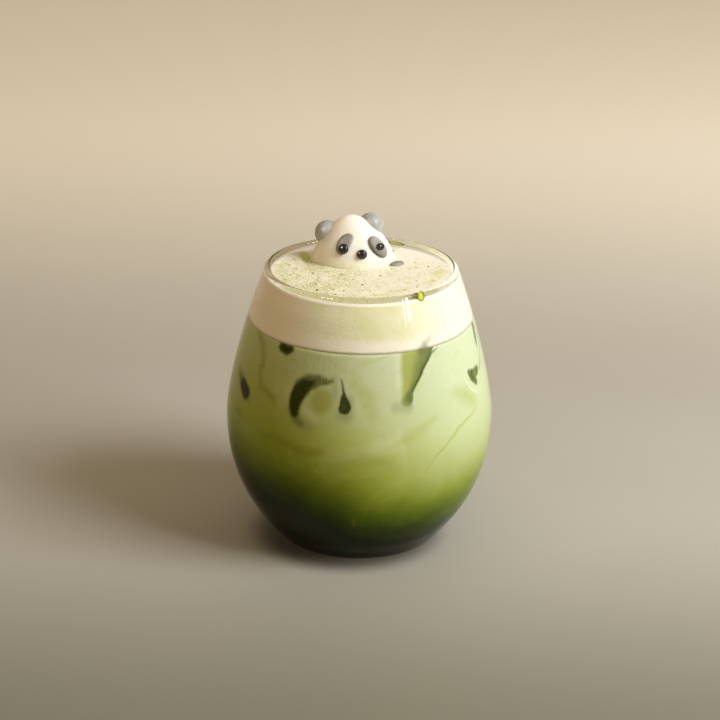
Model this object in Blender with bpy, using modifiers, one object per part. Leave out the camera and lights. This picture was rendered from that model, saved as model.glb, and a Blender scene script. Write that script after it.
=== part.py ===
"""Iced matcha latte in a stemless glass, topped with cream foam and a small panda sitting in the foam.

The origin is the middle of the glass's foot on the table, +Z is up, and the viewer stands on the -Y side,
so left and right in the names are the viewer's. Every size is in metres and every angle in degrees.
"""
import math
import random

import bmesh
import bpy
from mathutils import Vector

# Glass: widest at the belly, drawn in to a beaded rim
GLASS_HEIGHT = 0.0972
BELLY_RADIUS = 0.0460
BELLY_HEIGHT = 0.0454
RIM_LINE_RADIUS = 0.0327
BASE_LINE_RADIUS = 0.0273
LOWER_BULGE = 2.27
LOWER_ROUNDING = 1.24
UPPER_BULGE = 1.42
WALL = 0.0018
WALL_AT_BASE = 0.0030
BASE_BLEND_HEIGHT = 0.018
RIM_BEAD = 0.00245
RIM_BLEND_HEIGHT = 0.008

# Foot of the glass: a flat ring round a shallow recess, under a flat inner floor
FLOOR_LEVEL = 0.0042
FLOOR_FLAT_RADIUS = 0.0220
FLOOR_CURVE_HEIGHT = 0.0050
FOOT_ROUNDING_HEIGHT = 0.0013
FOOT_OUTER_RADIUS = 0.0252
FOOT_INNER_RADIUS = 0.0200
RECESS_RADIUS = 0.0186
RECESS_DEPTH = 0.0010

# Contents, filled almost to the rim
DRINK_LEVEL = 0.0793
FOAM_LEVEL = 0.0946
GAP = 0.0003

# Panda's head: a dome of soft sweet, sunk a few millimetres into the foam
HEAD_CENTRE_X = -0.0027
HEAD_CENTRE_Y = 0.0147
HEAD_HALF_WIDTH = 0.0145
HEAD_HALF_DEPTH = 0.0113
HEAD_WAIST_LEVEL = 0.0936
HEAD_RISE = 0.0170
HEAD_SUNK_DEPTH = 0.0042
HEAD_PLAN_POWER = 1.66
HEAD_RISE_POWER = 1.555
HEAD_LEAN = -0.0585

# Ears: balls pressed halfway into the head (turn from the viewer's side, height on the dome, how far in)
EAR_RADIUS = 0.0044
EARS = {
    "panda_ear_left": (-97.0, 0.635, 0.0012),
    "panda_ear_right": (112.0, 0.764, 0.0006),
}

# Face: pads pressed on the head (turn, height on the dome, length, width, thickness, tilt to the right)
EYE_PATCHES = {
    "panda_eye_patch_left": (-16.9, 0.531, 0.0081, 0.0050, 0.0008, 26.0),
    "panda_eye_patch_right": (54.0, 0.448, 0.0088, 0.0055, 0.0008, -29.0),
}
EYES = {
    "panda_eye_left": (-18.3, 0.439, 0.0036, 0.0034, 0.0014, 15.0),
    "panda_eye_right": (54.8, 0.438, 0.0025, 0.0031, 0.0012, 0.0),
}
NOSE = {
    "panda_nose": (17.3, 0.347, 0.0034, 0.0035, 0.0014, 0.0),
}
PATCH_FLATNESS = 0.45
BEAD_FLATNESS = 0.85
PAD_UNDERSIDE = 0.25

# Paw: a small rounded stub that lies half in the foam beside the head
PAW_CENTRE = (0.0122, 0.0094, 0.0946)
PAW_HALF_LENGTH = 0.0028
PAW_HALF_WIDTH = 0.0016
PAW_HALF_HEIGHT = 0.0013
PAW_TURN = 36.0

# Foam surface: gentle swells, a dip left of the head and clumps of matcha powder
SWELL_HEIGHT = 0.00012
SWELL_LENGTH = 0.013
DIP_CENTRE = (-0.0183, 0.0185)
DIP_DEPTH = 0.0018
DIP_HALF_WIDTH = 0.0024
DIP_HALF_LENGTH = 0.0065
CLUMP_COUNT = 44
CLUMP_RADIUS = (0.00036, 0.00056)
CLUMP_REACH = 0.0275
CLUMP_CLEARANCE = 0.0020
CLUMP_FLATTENING = 0.7
CLUMP_SEED = 11

# Facets
ROUND_STEPS = 40
HEAD_STEPS = 36
SMOOTH_ANGLE = 35.0
FOAM_RING_COUNT = 8
NUDGE = 0.0001

# Colours as linear RGB, with roughness and transmission
FINISHES = {
    "clear_glass": ((0.96, 0.98, 0.97), 0.03, 1.0),
    "matcha": ((0.36, 0.45, 0.12), 0.35, 0.0),
    "cream": ((0.86, 0.83, 0.66), 0.60, 0.0),
    "white_sweet": ((0.88, 0.85, 0.78), 0.50, 0.0),
    "grey_sweet": ((0.22, 0.23, 0.23), 0.40, 0.0),
    "black_sweet": ((0.012, 0.014, 0.012), 0.20, 0.0),
}


def clear_scene():
    """Remove everything that a new file holds."""
    for old in list(bpy.data.objects):
        bpy.data.objects.remove(old)


def make_collection(name):
    collection = bpy.data.collections.new(name)
    bpy.context.scene.collection.children.link(collection)
    return collection


def make_material(name):
    colour, roughness, transmission = FINISHES[name]
    material = bpy.data.materials.new(name)
    material.use_nodes = True
    shader = material.node_tree.nodes["Principled BSDF"]
    shader.inputs["Base Color"].default_value = (*colour, 1.0)
    shader.inputs["Roughness"].default_value = roughness
    shader.inputs["Metallic"].default_value = 0.0
    shader.inputs["Transmission Weight"].default_value = transmission
    return material


def add_object(name, bm, collection, material=None):
    """Turn a bmesh into a smooth-shaded object."""
    mesh = bpy.data.meshes.new(name)
    bm.to_mesh(mesh)
    bm.free()
    if mesh.polygons:
        mesh.shade_smooth()
        mesh.set_sharp_from_angle(angle=math.radians(SMOOTH_ANGLE))
    if material:
        mesh.materials.append(material)
    item = bpy.data.objects.new(name, mesh)
    collection.objects.link(item)
    return item


def apply_modifiers(item):
    """Replace an object's mesh by its evaluated one and drop the modifiers."""
    bpy.context.view_layer.update()
    evaluated = item.evaluated_get(bpy.context.evaluated_depsgraph_get())
    baked = bpy.data.meshes.new_from_object(evaluated)
    item.modifiers.clear()
    item.data = baked


def turn_profile(name, points, steps, collection, material=None):
    """Turn a line of (radius, height) points round the Z axis."""
    bm = bmesh.new()
    line = [bm.verts.new((radius, 0.0, height)) for radius, height in points]
    for first, second in zip(line, line[1:]):
        bm.edges.new((first, second))
    item = add_object(name, bm, collection, material)
    screw = item.modifiers.new("turn", "SCREW")
    screw.axis = "Z"
    screw.angle = math.radians(360.0)
    screw.steps = steps
    screw.render_steps = steps
    screw.use_merge_vertices = True
    screw.merge_threshold = NUDGE / 10
    screw.use_smooth_shade = True
    return item


def cut(item, cutter):
    """Take one solid out of another."""
    boolean = item.modifiers.new("cut by " + cutter.name, "BOOLEAN")
    boolean.operation = "DIFFERENCE"
    boolean.object = cutter


def hide_cutter(item):
    item.hide_render = True
    item.display_type = "WIRE"
    return item


def smooth_step(value):
    """Blend from 0 to 1 with level ends."""
    value = min(max(value, 0.0), 1.0)
    return value * value * (3.0 - 2.0 * value)


def bend(start, corner, end, count):
    """Points on a quadratic curve from start to end, pulled towards corner."""
    points = []
    for index in range(count + 1):
        t = index / count
        weights = ((1 - t) ** 2, 2 * t * (1 - t), t ** 2)
        points.append(tuple(sum(w * p[axis] for w, p in zip(weights, (start, corner, end))) for axis in (0, 1)))
    return points


def solve_height(height_at, target):
    """Height on the outer line at which height_at reaches the target."""
    low, high = 0.0, GLASS_HEIGHT
    for _ in range(50):
        middle = (low + high) / 2
        if height_at(middle) < target:
            low = middle
        else:
            high = middle
    return (low + high) / 2


def outer_radius(z):
    """Radius of the glass's outer line at height z."""
    if z < BELLY_HEIGHT:
        fullness = 1 - (BASE_LINE_RADIUS / BELLY_RADIUS) ** LOWER_ROUNDING
        reach = BELLY_HEIGHT / fullness ** (1 / LOWER_BULGE)
        drop = (BELLY_HEIGHT - z) / reach
        return BELLY_RADIUS * (1 - drop ** LOWER_BULGE) ** (1 / LOWER_ROUNDING)
    rise = (z - BELLY_HEIGHT) / (GLASS_HEIGHT - BELLY_HEIGHT)
    return BELLY_RADIUS - (BELLY_RADIUS - RIM_LINE_RADIUS) * rise ** UPPER_BULGE


def outer_slope(z):
    return (outer_radius(z + NUDGE) - outer_radius(z - NUDGE)) / (2 * NUDGE)


def wall_point(z, depth):
    """Point at a depth square to the outer line, from height z on it."""
    slope = outer_slope(z)
    length = math.hypot(1.0, slope)
    return outer_radius(z) - depth / length, z + depth * slope / length


# Height on the outer line that the centre of the rim's bead lies square to
BEAD_HEIGHT = solve_height(lambda z: wall_point(z, RIM_BEAD / 2)[1], GLASS_HEIGHT - RIM_BEAD / 2)


def wall_thickness(z):
    """Thin wall that thickens to the base and to the beaded rim."""
    to_base = smooth_step(1 - z / BASE_BLEND_HEIGHT)
    to_rim = smooth_step((z - BEAD_HEIGHT + RIM_BLEND_HEIGHT) / RIM_BLEND_HEIGHT)
    return WALL + (WALL_AT_BASE - WALL) * to_base + (RIM_BEAD - WALL) * to_rim


def wall_heights(low, high):
    """Heights that the wall's lines are drawn through, the belly among them."""
    lower = [low + (BELLY_HEIGHT - low) * index / 5 for index in range(5)]
    upper = [BELLY_HEIGHT + (high - BELLY_HEIGHT) * index / 6 for index in range(7)]
    return lower + upper


def inside_point(z, inset):
    """Point on the inside of the glass, or inset from it."""
    return wall_point(z, wall_thickness(z) + inset)


def inside_line(low, high, inset):
    """Line up the inside of the wall between two levels."""
    start = solve_height(lambda z: inside_point(z, inset)[1], low)
    stop = solve_height(lambda z: inside_point(z, inset)[1], high)
    margin = 10 * NUDGE
    between = [z for z in wall_heights(FLOOR_CURVE_HEIGHT, BEAD_HEIGHT) if start + margin < z < stop - margin]
    return [inside_point(z, inset) for z in (start, *between, stop)]


def floor_line(inset):
    """Line from the middle of the inner floor out to the foot of the wall."""
    level = FLOOR_LEVEL + inset
    end = inside_point(FLOOR_CURVE_HEIGHT, inset)
    corner = (end[0] - (end[1] - level) * outer_slope(FLOOR_CURVE_HEIGHT), level)
    return [(0.0, level)] + bend((FLOOR_FLAT_RADIUS, level), corner, end, 4)


def glass_line():
    """Closed section of the glass: up the inside, over the bead, down the outside and under the foot."""
    inside = floor_line(0.0)
    inside += [inside_point(z, 0.0) for z in wall_heights(FLOOR_CURVE_HEIGHT, BEAD_HEIGHT)[1:-1]]
    bead_centre = wall_point(BEAD_HEIGHT, RIM_BEAD / 2)
    facing = math.degrees(math.atan(-outer_slope(BEAD_HEIGHT)))
    bead = []
    for index in range(8):
        angle = math.radians(facing + 180.0 - 180.0 * index / 7)
        bead.append((bead_centre[0] + RIM_BEAD / 2 * math.cos(angle), bead_centre[1] + RIM_BEAD / 2 * math.sin(angle)))
    outside = [wall_point(z, 0.0) for z in reversed(wall_heights(FLOOR_CURVE_HEIGHT, BEAD_HEIGHT)[:-1])]
    foot_start = wall_point(FOOT_ROUNDING_HEIGHT, 0.0)
    foot_corner = (foot_start[0] - FOOT_ROUNDING_HEIGHT * outer_slope(FOOT_ROUNDING_HEIGHT), 0.0)
    foot = bend(foot_start, foot_corner, (FOOT_OUTER_RADIUS, 0.0), 3)
    recess = [(FOOT_INNER_RADIUS, 0.0), (RECESS_RADIUS, 0.7 * RECESS_DEPTH), (0.0, RECESS_DEPTH)]
    return inside + bead + outside + foot + recess


def make_glass(collection):
    turn_profile("glass", glass_line(), ROUND_STEPS, collection, make_material("clear_glass"))


def make_drink(collection):
    """Matcha and milk, a solid that fills the glass up to the foam."""
    wall = inside_line(FLOOR_LEVEL, DRINK_LEVEL - GAP / 2, GAP)
    floor = floor_line(GAP)
    rising = floor + [point for point in wall if point[1] > floor[-1][1] + NUDGE]
    line = [(0.0, DRINK_LEVEL - GAP / 2)] + rising[::-1]
    turn_profile("matcha_latte", line, ROUND_STEPS, collection, make_material("matcha"))


def foam_relief(x, y, edge_radius):
    """Rise of the foam's surface above its level: gentle swells that fade at the glass, and the dip."""
    waves = math.sin(x / SWELL_LENGTH * 6.3 + 1.2) + math.sin((y + 0.6 * x) / SWELL_LENGTH * 5.1)
    waves += math.sin((y - 0.8 * x) / SWELL_LENGTH * 8.4 + 2.0)
    fade = smooth_step((edge_radius - math.hypot(x, y)) / SWELL_LENGTH)
    across = (x - DIP_CENTRE[0]) / DIP_HALF_WIDTH
    along = (y - DIP_CENTRE[1]) / DIP_HALF_LENGTH
    dip = DIP_DEPTH * math.exp(-across * across - along * along)
    return SWELL_HEIGHT * waves * fade - dip


def on_head_plan(x, y, margin):
    """Whether a point of the foam lies within a margin of the head, seen from above."""
    across = (x - HEAD_CENTRE_X) / (HEAD_HALF_WIDTH + margin)
    along = (y - HEAD_CENTRE_Y) / (HEAD_HALF_DEPTH + margin)
    return math.hypot(across, along) < 1.0


def clump_places():
    """Seeded places for the largest clumps of powder, thickest at the left and in front of the head."""
    draw = random.Random(CLUMP_SEED)
    places = []
    while len(places) < CLUMP_COUNT:
        angle = draw.uniform(-math.pi, math.pi)
        radius = CLUMP_REACH * math.sqrt(draw.random())
        x, y = radius * math.cos(angle), radius * math.sin(angle)
        size = draw.uniform(*CLUMP_RADIUS)
        dusted = draw.random() < 0.55 - 0.45 * x / CLUMP_REACH
        paw_distance = math.hypot(x - PAW_CENTRE[0], y - PAW_CENTRE[1])
        dip_distance = math.hypot(x - DIP_CENTRE[0], y - DIP_CENTRE[1])
        clear = not on_head_plan(x, y, CLUMP_CLEARANCE)
        clear = clear and paw_distance > PAW_HALF_LENGTH + CLUMP_CLEARANCE and dip_distance > DIP_HALF_LENGTH
        spaced = all(math.hypot(x - a, y - b) > 2 * CLUMP_CLEARANCE for a, b, _ in places)
        if dusted and clear and spaced:
            places.append((x, y, size))
    return places


def fuse_clumps(foam, edge_radius):
    """Join the clumps to the foam in one union."""
    heap = make_collection("matcha_clumps")
    for index, (x, y, size) in enumerate(clump_places()):
        bm = bmesh.new()
        bmesh.ops.create_icosphere(bm, subdivisions=1, radius=size)
        bmesh.ops.scale(bm, vec=(1.0, 1.0, CLUMP_FLATTENING), verts=bm.verts)
        bmesh.ops.translate(bm, vec=(x, y, FOAM_LEVEL + foam_relief(x, y, edge_radius)), verts=bm.verts)
        add_object("matcha_clump_%d" % index, bm, heap)
    union = foam.modifiers.new("clumps", "BOOLEAN")
    union.operation = "UNION"
    union.operand_type = "COLLECTION"
    union.collection = heap
    apply_modifiers(foam)
    for clump in list(heap.objects):
        bpy.data.objects.remove(clump)
    bpy.data.collections.remove(heap)


def make_foam(collection, cutters):
    """Cream foam from the drink up to just under the rim, cut round the head and the paw."""
    side = inside_line(DRINK_LEVEL + GAP / 2, FOAM_LEVEL, GAP)
    edge_radius = side[-1][0]
    top = [(edge_radius * index / FOAM_RING_COUNT, FOAM_LEVEL) for index in range(FOAM_RING_COUNT)]
    line = top + side[::-1] + [(0.0, DRINK_LEVEL + GAP / 2)]
    foam = turn_profile("cream_foam", line, ROUND_STEPS, collection, make_material("cream"))
    apply_modifiers(foam)
    for vertex in foam.data.vertices:
        if vertex.co.z > FOAM_LEVEL - NUDGE:
            vertex.co.z += foam_relief(vertex.co.x, vertex.co.y, edge_radius)
    for cutter in cutters:
        cut(foam, cutter)
    fuse_clumps(foam, edge_radius)


def head_dome(height, grown=0.0):
    """Share of the head's plan size that is left at a height from 0, the waist, to 1, the crown."""
    return (1 - height ** HEAD_RISE_POWER) ** (1 / HEAD_PLAN_POWER)


def make_head(name, collection, material=None, grown=0.0):
    """Dome above its waist and a shallow bowl below it, wider than deep, leaning a little to the left."""
    rise = HEAD_RISE + grown
    sunk = HEAD_SUNK_DEPTH + grown
    half_width = HEAD_HALF_WIDTH + grown
    heights = [math.sin(math.radians(90.0 * index / 10)) for index in range(10, -1, -1)]
    line = [(half_width * head_dome(height), HEAD_WAIST_LEVEL + rise * height) for height in heights]
    for index in range(1, 5):
        angle = math.radians(90.0 * index / 4)
        line.append((half_width * math.cos(angle), HEAD_WAIST_LEVEL - sunk * math.sin(angle)))
    line[-1] = (0.0, line[-1][1])
    head = turn_profile(name, line, HEAD_STEPS, collection, material)
    apply_modifiers(head)
    depth_share = (HEAD_HALF_DEPTH + grown) / half_width
    for vertex in head.data.vertices:
        lean = HEAD_LEAN * max(vertex.co.z - HEAD_WAIST_LEVEL, 0.0)
        vertex.co.x += HEAD_CENTRE_X + lean
        vertex.co.y = HEAD_CENTRE_Y + vertex.co.y * depth_share
    return head


def head_excess(point):
    """Below zero inside the head's dome, zero on its surface and above zero outside it."""
    height = (point.z - HEAD_WAIST_LEVEL) / HEAD_RISE
    lean = HEAD_LEAN * (point.z - HEAD_WAIST_LEVEL)
    across = (point.x - HEAD_CENTRE_X - lean) / HEAD_HALF_WIDTH
    along = (point.y - HEAD_CENTRE_Y) / HEAD_HALF_DEPTH
    return math.hypot(across, along) ** HEAD_PLAN_POWER + max(height, 0.0) ** HEAD_RISE_POWER - 1


def head_normal(point):
    """Outward direction of the head's surface at a point."""
    axes = (Vector((NUDGE, 0, 0)), Vector((0, NUDGE, 0)), Vector((0, 0, NUDGE)))
    return Vector([head_excess(point + step) - head_excess(point - step) for step in axes]).normalized()


def head_point(turn, height):
    """Point of the dome at a turn from the viewer's side, to the right, and a height from 0 to 1."""
    angle = math.radians(turn)
    plan = 1 / math.hypot(math.sin(angle) / HEAD_HALF_WIDTH, math.cos(angle) / HEAD_HALF_DEPTH)
    radius = plan * head_dome(height)
    lean = HEAD_LEAN * HEAD_RISE * height
    x = HEAD_CENTRE_X + radius * math.sin(angle) + lean
    y = HEAD_CENTRE_Y - radius * math.cos(angle)
    return Vector((x, y, HEAD_WAIST_LEVEL + HEAD_RISE * height))


def drop_on_head(point, normal):
    """Move a point along a direction until it lies on the head."""
    low, high = -0.004, 0.004
    for _ in range(40):
        middle = (low + high) / 2
        if head_excess(point + normal * middle) < 0:
            low = middle
        else:
            high = middle
    return point + normal * low


def make_pad(name, place, collection, material, flatness, base_offset):
    """Rounded pad that follows the head: an oval button whose underside lies base_offset off the surface."""
    turn, height, length, width, thickness, tilt = place
    middle = head_point(turn, height)
    normal = head_normal(middle)
    across = Vector((0, 0, 1)).cross(normal).normalized()
    upwards = normal.cross(across)
    lean = math.radians(tilt)
    long_axis = upwards * math.cos(lean) + across * math.sin(lean)
    short_axis = across * math.cos(lean) - upwards * math.sin(lean)
    underside = PAD_UNDERSIDE * thickness
    bm = bmesh.new()
    bmesh.ops.create_uvsphere(bm, u_segments=20, v_segments=8, radius=1.0)
    for vertex in bm.verts:
        flat = math.hypot(vertex.co.x, vertex.co.y)
        spread = flat ** flatness / flat if flat > NUDGE else 0.0
        level = math.copysign(abs(vertex.co.z) ** flatness, vertex.co.z)
        offset = underside + (thickness - underside if level > 0 else underside) * level
        over = middle + long_axis * (vertex.co.y * spread * length / 2)
        over += short_axis * (vertex.co.x * spread * width / 2)
        seat = drop_on_head(over, normal)
        vertex.co = seat + head_normal(seat) * (base_offset + offset)
    bmesh.ops.recalc_face_normals(bm, faces=bm.faces)
    add_object(name, bm, collection, material)


def make_face(collection, grey, black):
    """Grey eye patches with black eyes on them, and a black nose."""
    for name, place in EYE_PATCHES.items():
        make_pad(name, place, collection, grey, PATCH_FLATNESS, GAP)
    for (name, place), patch in zip(EYES.items(), EYE_PATCHES.values()):
        make_pad(name, place, collection, black, BEAD_FLATNESS, 2 * GAP + patch[4])
    for name, place in NOSE.items():
        make_pad(name, place, collection, black, BEAD_FLATNESS, GAP)


def make_ears(collection, material, head_cutter):
    """Round ears whose inner side follows the head."""
    for name, (turn, height, inward) in EARS.items():
        surface = head_point(turn, height)
        centre = surface - head_normal(surface) * inward
        bm = bmesh.new()
        bmesh.ops.create_uvsphere(bm, u_segments=20, v_segments=12, radius=EAR_RADIUS)
        bmesh.ops.translate(bm, vec=centre, verts=bm.verts)
        ear = add_object(name, bm, collection, material)
        cut(ear, head_cutter)


def make_paw(name, collection, material=None, grown=0.0):
    """Egg-shaped stub that points back and to the right."""
    bm = bmesh.new()
    bmesh.ops.create_uvsphere(bm, u_segments=20, v_segments=12, radius=1.0)
    size = (PAW_HALF_LENGTH + grown, PAW_HALF_WIDTH + grown, PAW_HALF_HEIGHT + grown)
    bmesh.ops.scale(bm, vec=size, verts=bm.verts)
    turn = math.radians(PAW_TURN)
    for vertex in bm.verts:
        x, y = vertex.co.x, vertex.co.y
        vertex.co.x = PAW_CENTRE[0] + x * math.cos(turn) - y * math.sin(turn)
        vertex.co.y = PAW_CENTRE[1] + x * math.sin(turn) + y * math.cos(turn)
        vertex.co.z += PAW_CENTRE[2]
    return add_object(name, bm, collection, material)


def main():
    clear_scene()
    parts = make_collection("matcha_latte_glass")
    cutters = make_collection("cutters")
    white, grey, black = (make_material(name) for name in ("white_sweet", "grey_sweet", "black_sweet"))
    head_cutter = hide_cutter(make_head("head_cutter", cutters, grown=GAP))
    paw_cutter = hide_cutter(make_paw("paw_cutter", cutters, grown=GAP))
    make_glass(parts)
    make_drink(parts)
    make_foam(parts, (head_cutter, paw_cutter))
    make_head("panda_head", parts, white)
    make_ears(parts, grey, head_cutter)
    make_face(parts, grey, black)
    cut(make_paw("panda_paw", parts, grey), head_cutter)


main()
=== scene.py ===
"""Looks of an iced matcha latte: a stemless glass of marbled green drink, cream foam and a small panda.

Sizes are in metres and angles in degrees unless a name says millimetres. Left and right are the viewer's,
who stands on the -Y side. Turns round the glass count from the viewer's side, positive to the right.
"""
import math
import random

import bpy
from mathutils import Matrix, Vector, noise


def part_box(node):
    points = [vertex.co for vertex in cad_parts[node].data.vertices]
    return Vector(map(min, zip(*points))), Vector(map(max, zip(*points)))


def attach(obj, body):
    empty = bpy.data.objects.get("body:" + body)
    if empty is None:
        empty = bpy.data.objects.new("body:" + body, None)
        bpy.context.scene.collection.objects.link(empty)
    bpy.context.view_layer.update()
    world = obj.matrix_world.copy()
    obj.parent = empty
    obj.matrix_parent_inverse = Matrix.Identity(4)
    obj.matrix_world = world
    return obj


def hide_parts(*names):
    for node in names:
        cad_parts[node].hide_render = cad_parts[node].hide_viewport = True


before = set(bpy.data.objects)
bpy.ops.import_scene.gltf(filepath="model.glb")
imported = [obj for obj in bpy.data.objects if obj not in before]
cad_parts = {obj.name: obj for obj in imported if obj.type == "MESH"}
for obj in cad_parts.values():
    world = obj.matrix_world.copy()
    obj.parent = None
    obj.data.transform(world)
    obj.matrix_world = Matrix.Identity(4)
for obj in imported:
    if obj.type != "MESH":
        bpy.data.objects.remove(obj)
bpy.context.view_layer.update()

# Glass, as the CAD part turns it
GLASS_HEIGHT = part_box("glass")[1].z
BELLY_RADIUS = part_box("glass")[1].x
BELLY_HEIGHT = 0.0454
RIM_LINE_RADIUS = 0.0327
BASE_LINE_RADIUS = 0.0273
LOWER_BULGE = 2.27
LOWER_ROUNDING = 1.24
UPPER_BULGE = 1.42
WALL = 0.0018
WALL_AT_BASE = 0.0030
BASE_BLEND_HEIGHT = 0.018
RIM_BEAD = 0.00245
RIM_BLEND_HEIGHT = 0.008
FLOOR_LEVEL = 0.0042
FLOOR_FLAT_RADIUS = 0.0220
FLOOR_CURVE_HEIGHT = 0.0050
FOOT_ROUNDING_HEIGHT = 0.0013
FOOT_OUTER_RADIUS = 0.0252
FOOT_INNER_RADIUS = 0.0200
RECESS_CORNER_STEP = 0.0008
RECESS_FLAT_RADIUS = 0.0160
RECESS_MIDDLE_RADIUS = 0.0080
RECESS_DEPTH = 0.0010
WALL_STEPS = 60
FLOOR_STEPS = 10
BEAD_STEPS = 18
LOWER_STEP = 0.0009
NUDGE = 0.0001

# Contents reach just into the wall, so that no air shows between them and the glass
DRINK_LEVEL = 0.0793
FOAM_LEVEL = 0.0946
INTO_WALL = 0.00015

# Panda, as the CAD part places it. An ear has its turn, height and how far its middle is sunk. A patch, eye
# or nose has its turn, height, length, width, thickness and tilt. Heights are shares of the head's rise.
HEAD_CENTRE = (-0.0027, 0.0147)
HEAD_HALF_WIDTH = 0.0145
HEAD_HALF_DEPTH = 0.0113
HEAD_WAIST_LEVEL = 0.0936
HEAD_RISE = 0.0170
HEAD_SUNK_DEPTH = 0.0042
HEAD_PLAN_POWER = 1.66
HEAD_RISE_POWER = 1.555
HEAD_LEAN = -0.0585
EAR_RADIUS = 0.0044
EARS = {
    "panda_ear_left": (-97.0, 0.635, 0.0012),
    "panda_ear_right": (112.0, 0.764, 0.0006),
}
EYE_PATCHES = {
    "panda_eye_patch_left": (-16.9, 0.531, 0.0081, 0.0050, 0.0008, 26.0),
    "panda_eye_patch_right": (54.0, 0.448, 0.0088, 0.0055, 0.0008, -29.0),
}
EYES = {
    "panda_eye_left": (-18.3, 0.439, 0.0036, 0.0034, 0.0014, 15.0),
    "panda_eye_right": (54.8, 0.438, 0.0025, 0.0031, 0.0012, 0.0),
}
NOSE = {
    "panda_nose": (17.3, 0.347, 0.0034, 0.0035, 0.0014, 0.0),
}
PAD_ROOT = 0.0004
PATCH_FLATNESS = 0.5
BUTTON_FLATNESS = 0.85
TIP_PLACE = (99.8, 0.638)
TIP_DIRECTION = (0.75, 0.0, 0.66)
TIP_RADIUS = 0.00042
TIP_LENGTH = 0.0010
PAW_CENTRE = (0.0122, 0.0094, 0.0946)
PAW_HALF_SIZE = (0.0028, 0.0016, 0.0013)
PAW_TURN = 36.0

# Foam surface and powder
SWELL_HEIGHT = 0.00012
SWELL_LENGTH = 0.013
SWELL_SHARE = 0.35
DIP_CENTRE = (-0.0183, 0.0185)
DIP_DEPTH = 0.0018
DIP_HALF_WIDTH = 0.0024
DIP_HALF_LENGTH = 0.0065

# Camera: height, distance and turn that the photo was taken with
CAMERA_DISTANCE = 0.69978
CAMERA_HEIGHT = 0.33898
CAMERA_PITCH = 21.53
CAMERA_ROLL = 0.963
CAMERA_LENS = 109.2
SENSOR_WIDTH = 36.0

MM = 0.001


def deselect():
    bpy.ops.object.select_all(action="DESELECT")


def pick(item):
    """Make an object the only selected and the active one."""
    deselect()
    item.select_set(True)
    bpy.context.view_layer.objects.active = item


def apply_modifier(item, name):
    pick(item)
    bpy.ops.object.modifier_apply(modifier=name)


def dress(piece, material, slot, *nodes):
    """Give a piece its material and body, and hide the CAD nodes that it stands for. The slot is not used.
    """
    piece.data.materials.clear()
    piece.data.materials.append(material)
    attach(piece, "root")
    if nodes:
        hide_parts(*nodes)
    return piece


def smooth_step(value):
    value = min(max(value, 0.0), 1.0)
    return value * value * (3.0 - 2.0 * value)


# Lines of the glass


def outer_radius(z):
    """Radius of the glass's outer line at height z."""
    if z < BELLY_HEIGHT:
        fullness = 1 - (BASE_LINE_RADIUS / BELLY_RADIUS) ** LOWER_ROUNDING
        reach = BELLY_HEIGHT / fullness ** (1 / LOWER_BULGE)
        return BELLY_RADIUS * (1 - ((BELLY_HEIGHT - z) / reach) ** LOWER_BULGE) ** (1 / LOWER_ROUNDING)
    rise = (z - BELLY_HEIGHT) / (GLASS_HEIGHT - BELLY_HEIGHT)
    return BELLY_RADIUS - (BELLY_RADIUS - RIM_LINE_RADIUS) * rise ** UPPER_BULGE


def outer_slope(z):
    return (outer_radius(z + NUDGE) - outer_radius(z - NUDGE)) / (2 * NUDGE)


def wall_point(z, depth):
    """Point at a depth square to the outer line, from height z on it."""
    slope = outer_slope(z)
    length = math.hypot(1.0, slope)
    return outer_radius(z) - depth / length, z + depth * slope / length


def solve_height(height_at, target):
    """Height on the outer line at which height_at reaches the target."""
    low, high = 0.0, GLASS_HEIGHT
    for _ in range(50):
        middle = (low + high) / 2
        if height_at(middle) < target:
            low = middle
        else:
            high = middle
    return (low + high) / 2


BEAD_HEIGHT = solve_height(lambda z: wall_point(z, RIM_BEAD / 2)[1], GLASS_HEIGHT - RIM_BEAD / 2)


def wall_thickness(z):
    to_base = smooth_step(1 - z / BASE_BLEND_HEIGHT)
    to_rim = smooth_step((z - BEAD_HEIGHT + RIM_BLEND_HEIGHT) / RIM_BLEND_HEIGHT)
    return WALL + (WALL_AT_BASE - WALL) * to_base + (RIM_BEAD - WALL) * to_rim


def inside_point(z, inset):
    """Point on the inside of the glass, or inset from it."""
    return wall_point(z, wall_thickness(z) + inset)


def inside_line(low, high, inset, count):
    """Line up the inside of the wall between two levels."""
    start = solve_height(lambda z: inside_point(z, inset)[1], low)
    stop = solve_height(lambda z: inside_point(z, inset)[1], high)
    return [inside_point(start + (stop - start) * index / count, inset) for index in range(count + 1)]


def inside_radius(level, inset=0.0):
    """Radius of the glass's inside at a level."""
    return inside_point(solve_height(lambda z: inside_point(z, inset)[1], level), inset)[0]


def bend(start, corner, end, count):
    """Points on a quadratic curve from start to end, pulled towards corner."""
    points = []
    for index in range(count + 1):
        t = index / count
        weights = ((1 - t) ** 2, 2 * t * (1 - t), t ** 2)
        pulls = list(zip(weights, (start, corner, end)))
        points.append(tuple(sum(weight * point[axis] for weight, point in pulls) for axis in (0, 1)))
    return points


def floor_line(inset, count):
    """Line from the middle of the inner floor out to the foot of the wall."""
    level = FLOOR_LEVEL + inset
    end = inside_point(FLOOR_CURVE_HEIGHT, inset)
    corner = (end[0] - (end[1] - level) * outer_slope(FLOOR_CURVE_HEIGHT), level)
    flat = [(FLOOR_FLAT_RADIUS * index / 6, level) for index in range(6)]
    return flat + bend((FLOOR_FLAT_RADIUS, level), corner, end, count)


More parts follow.
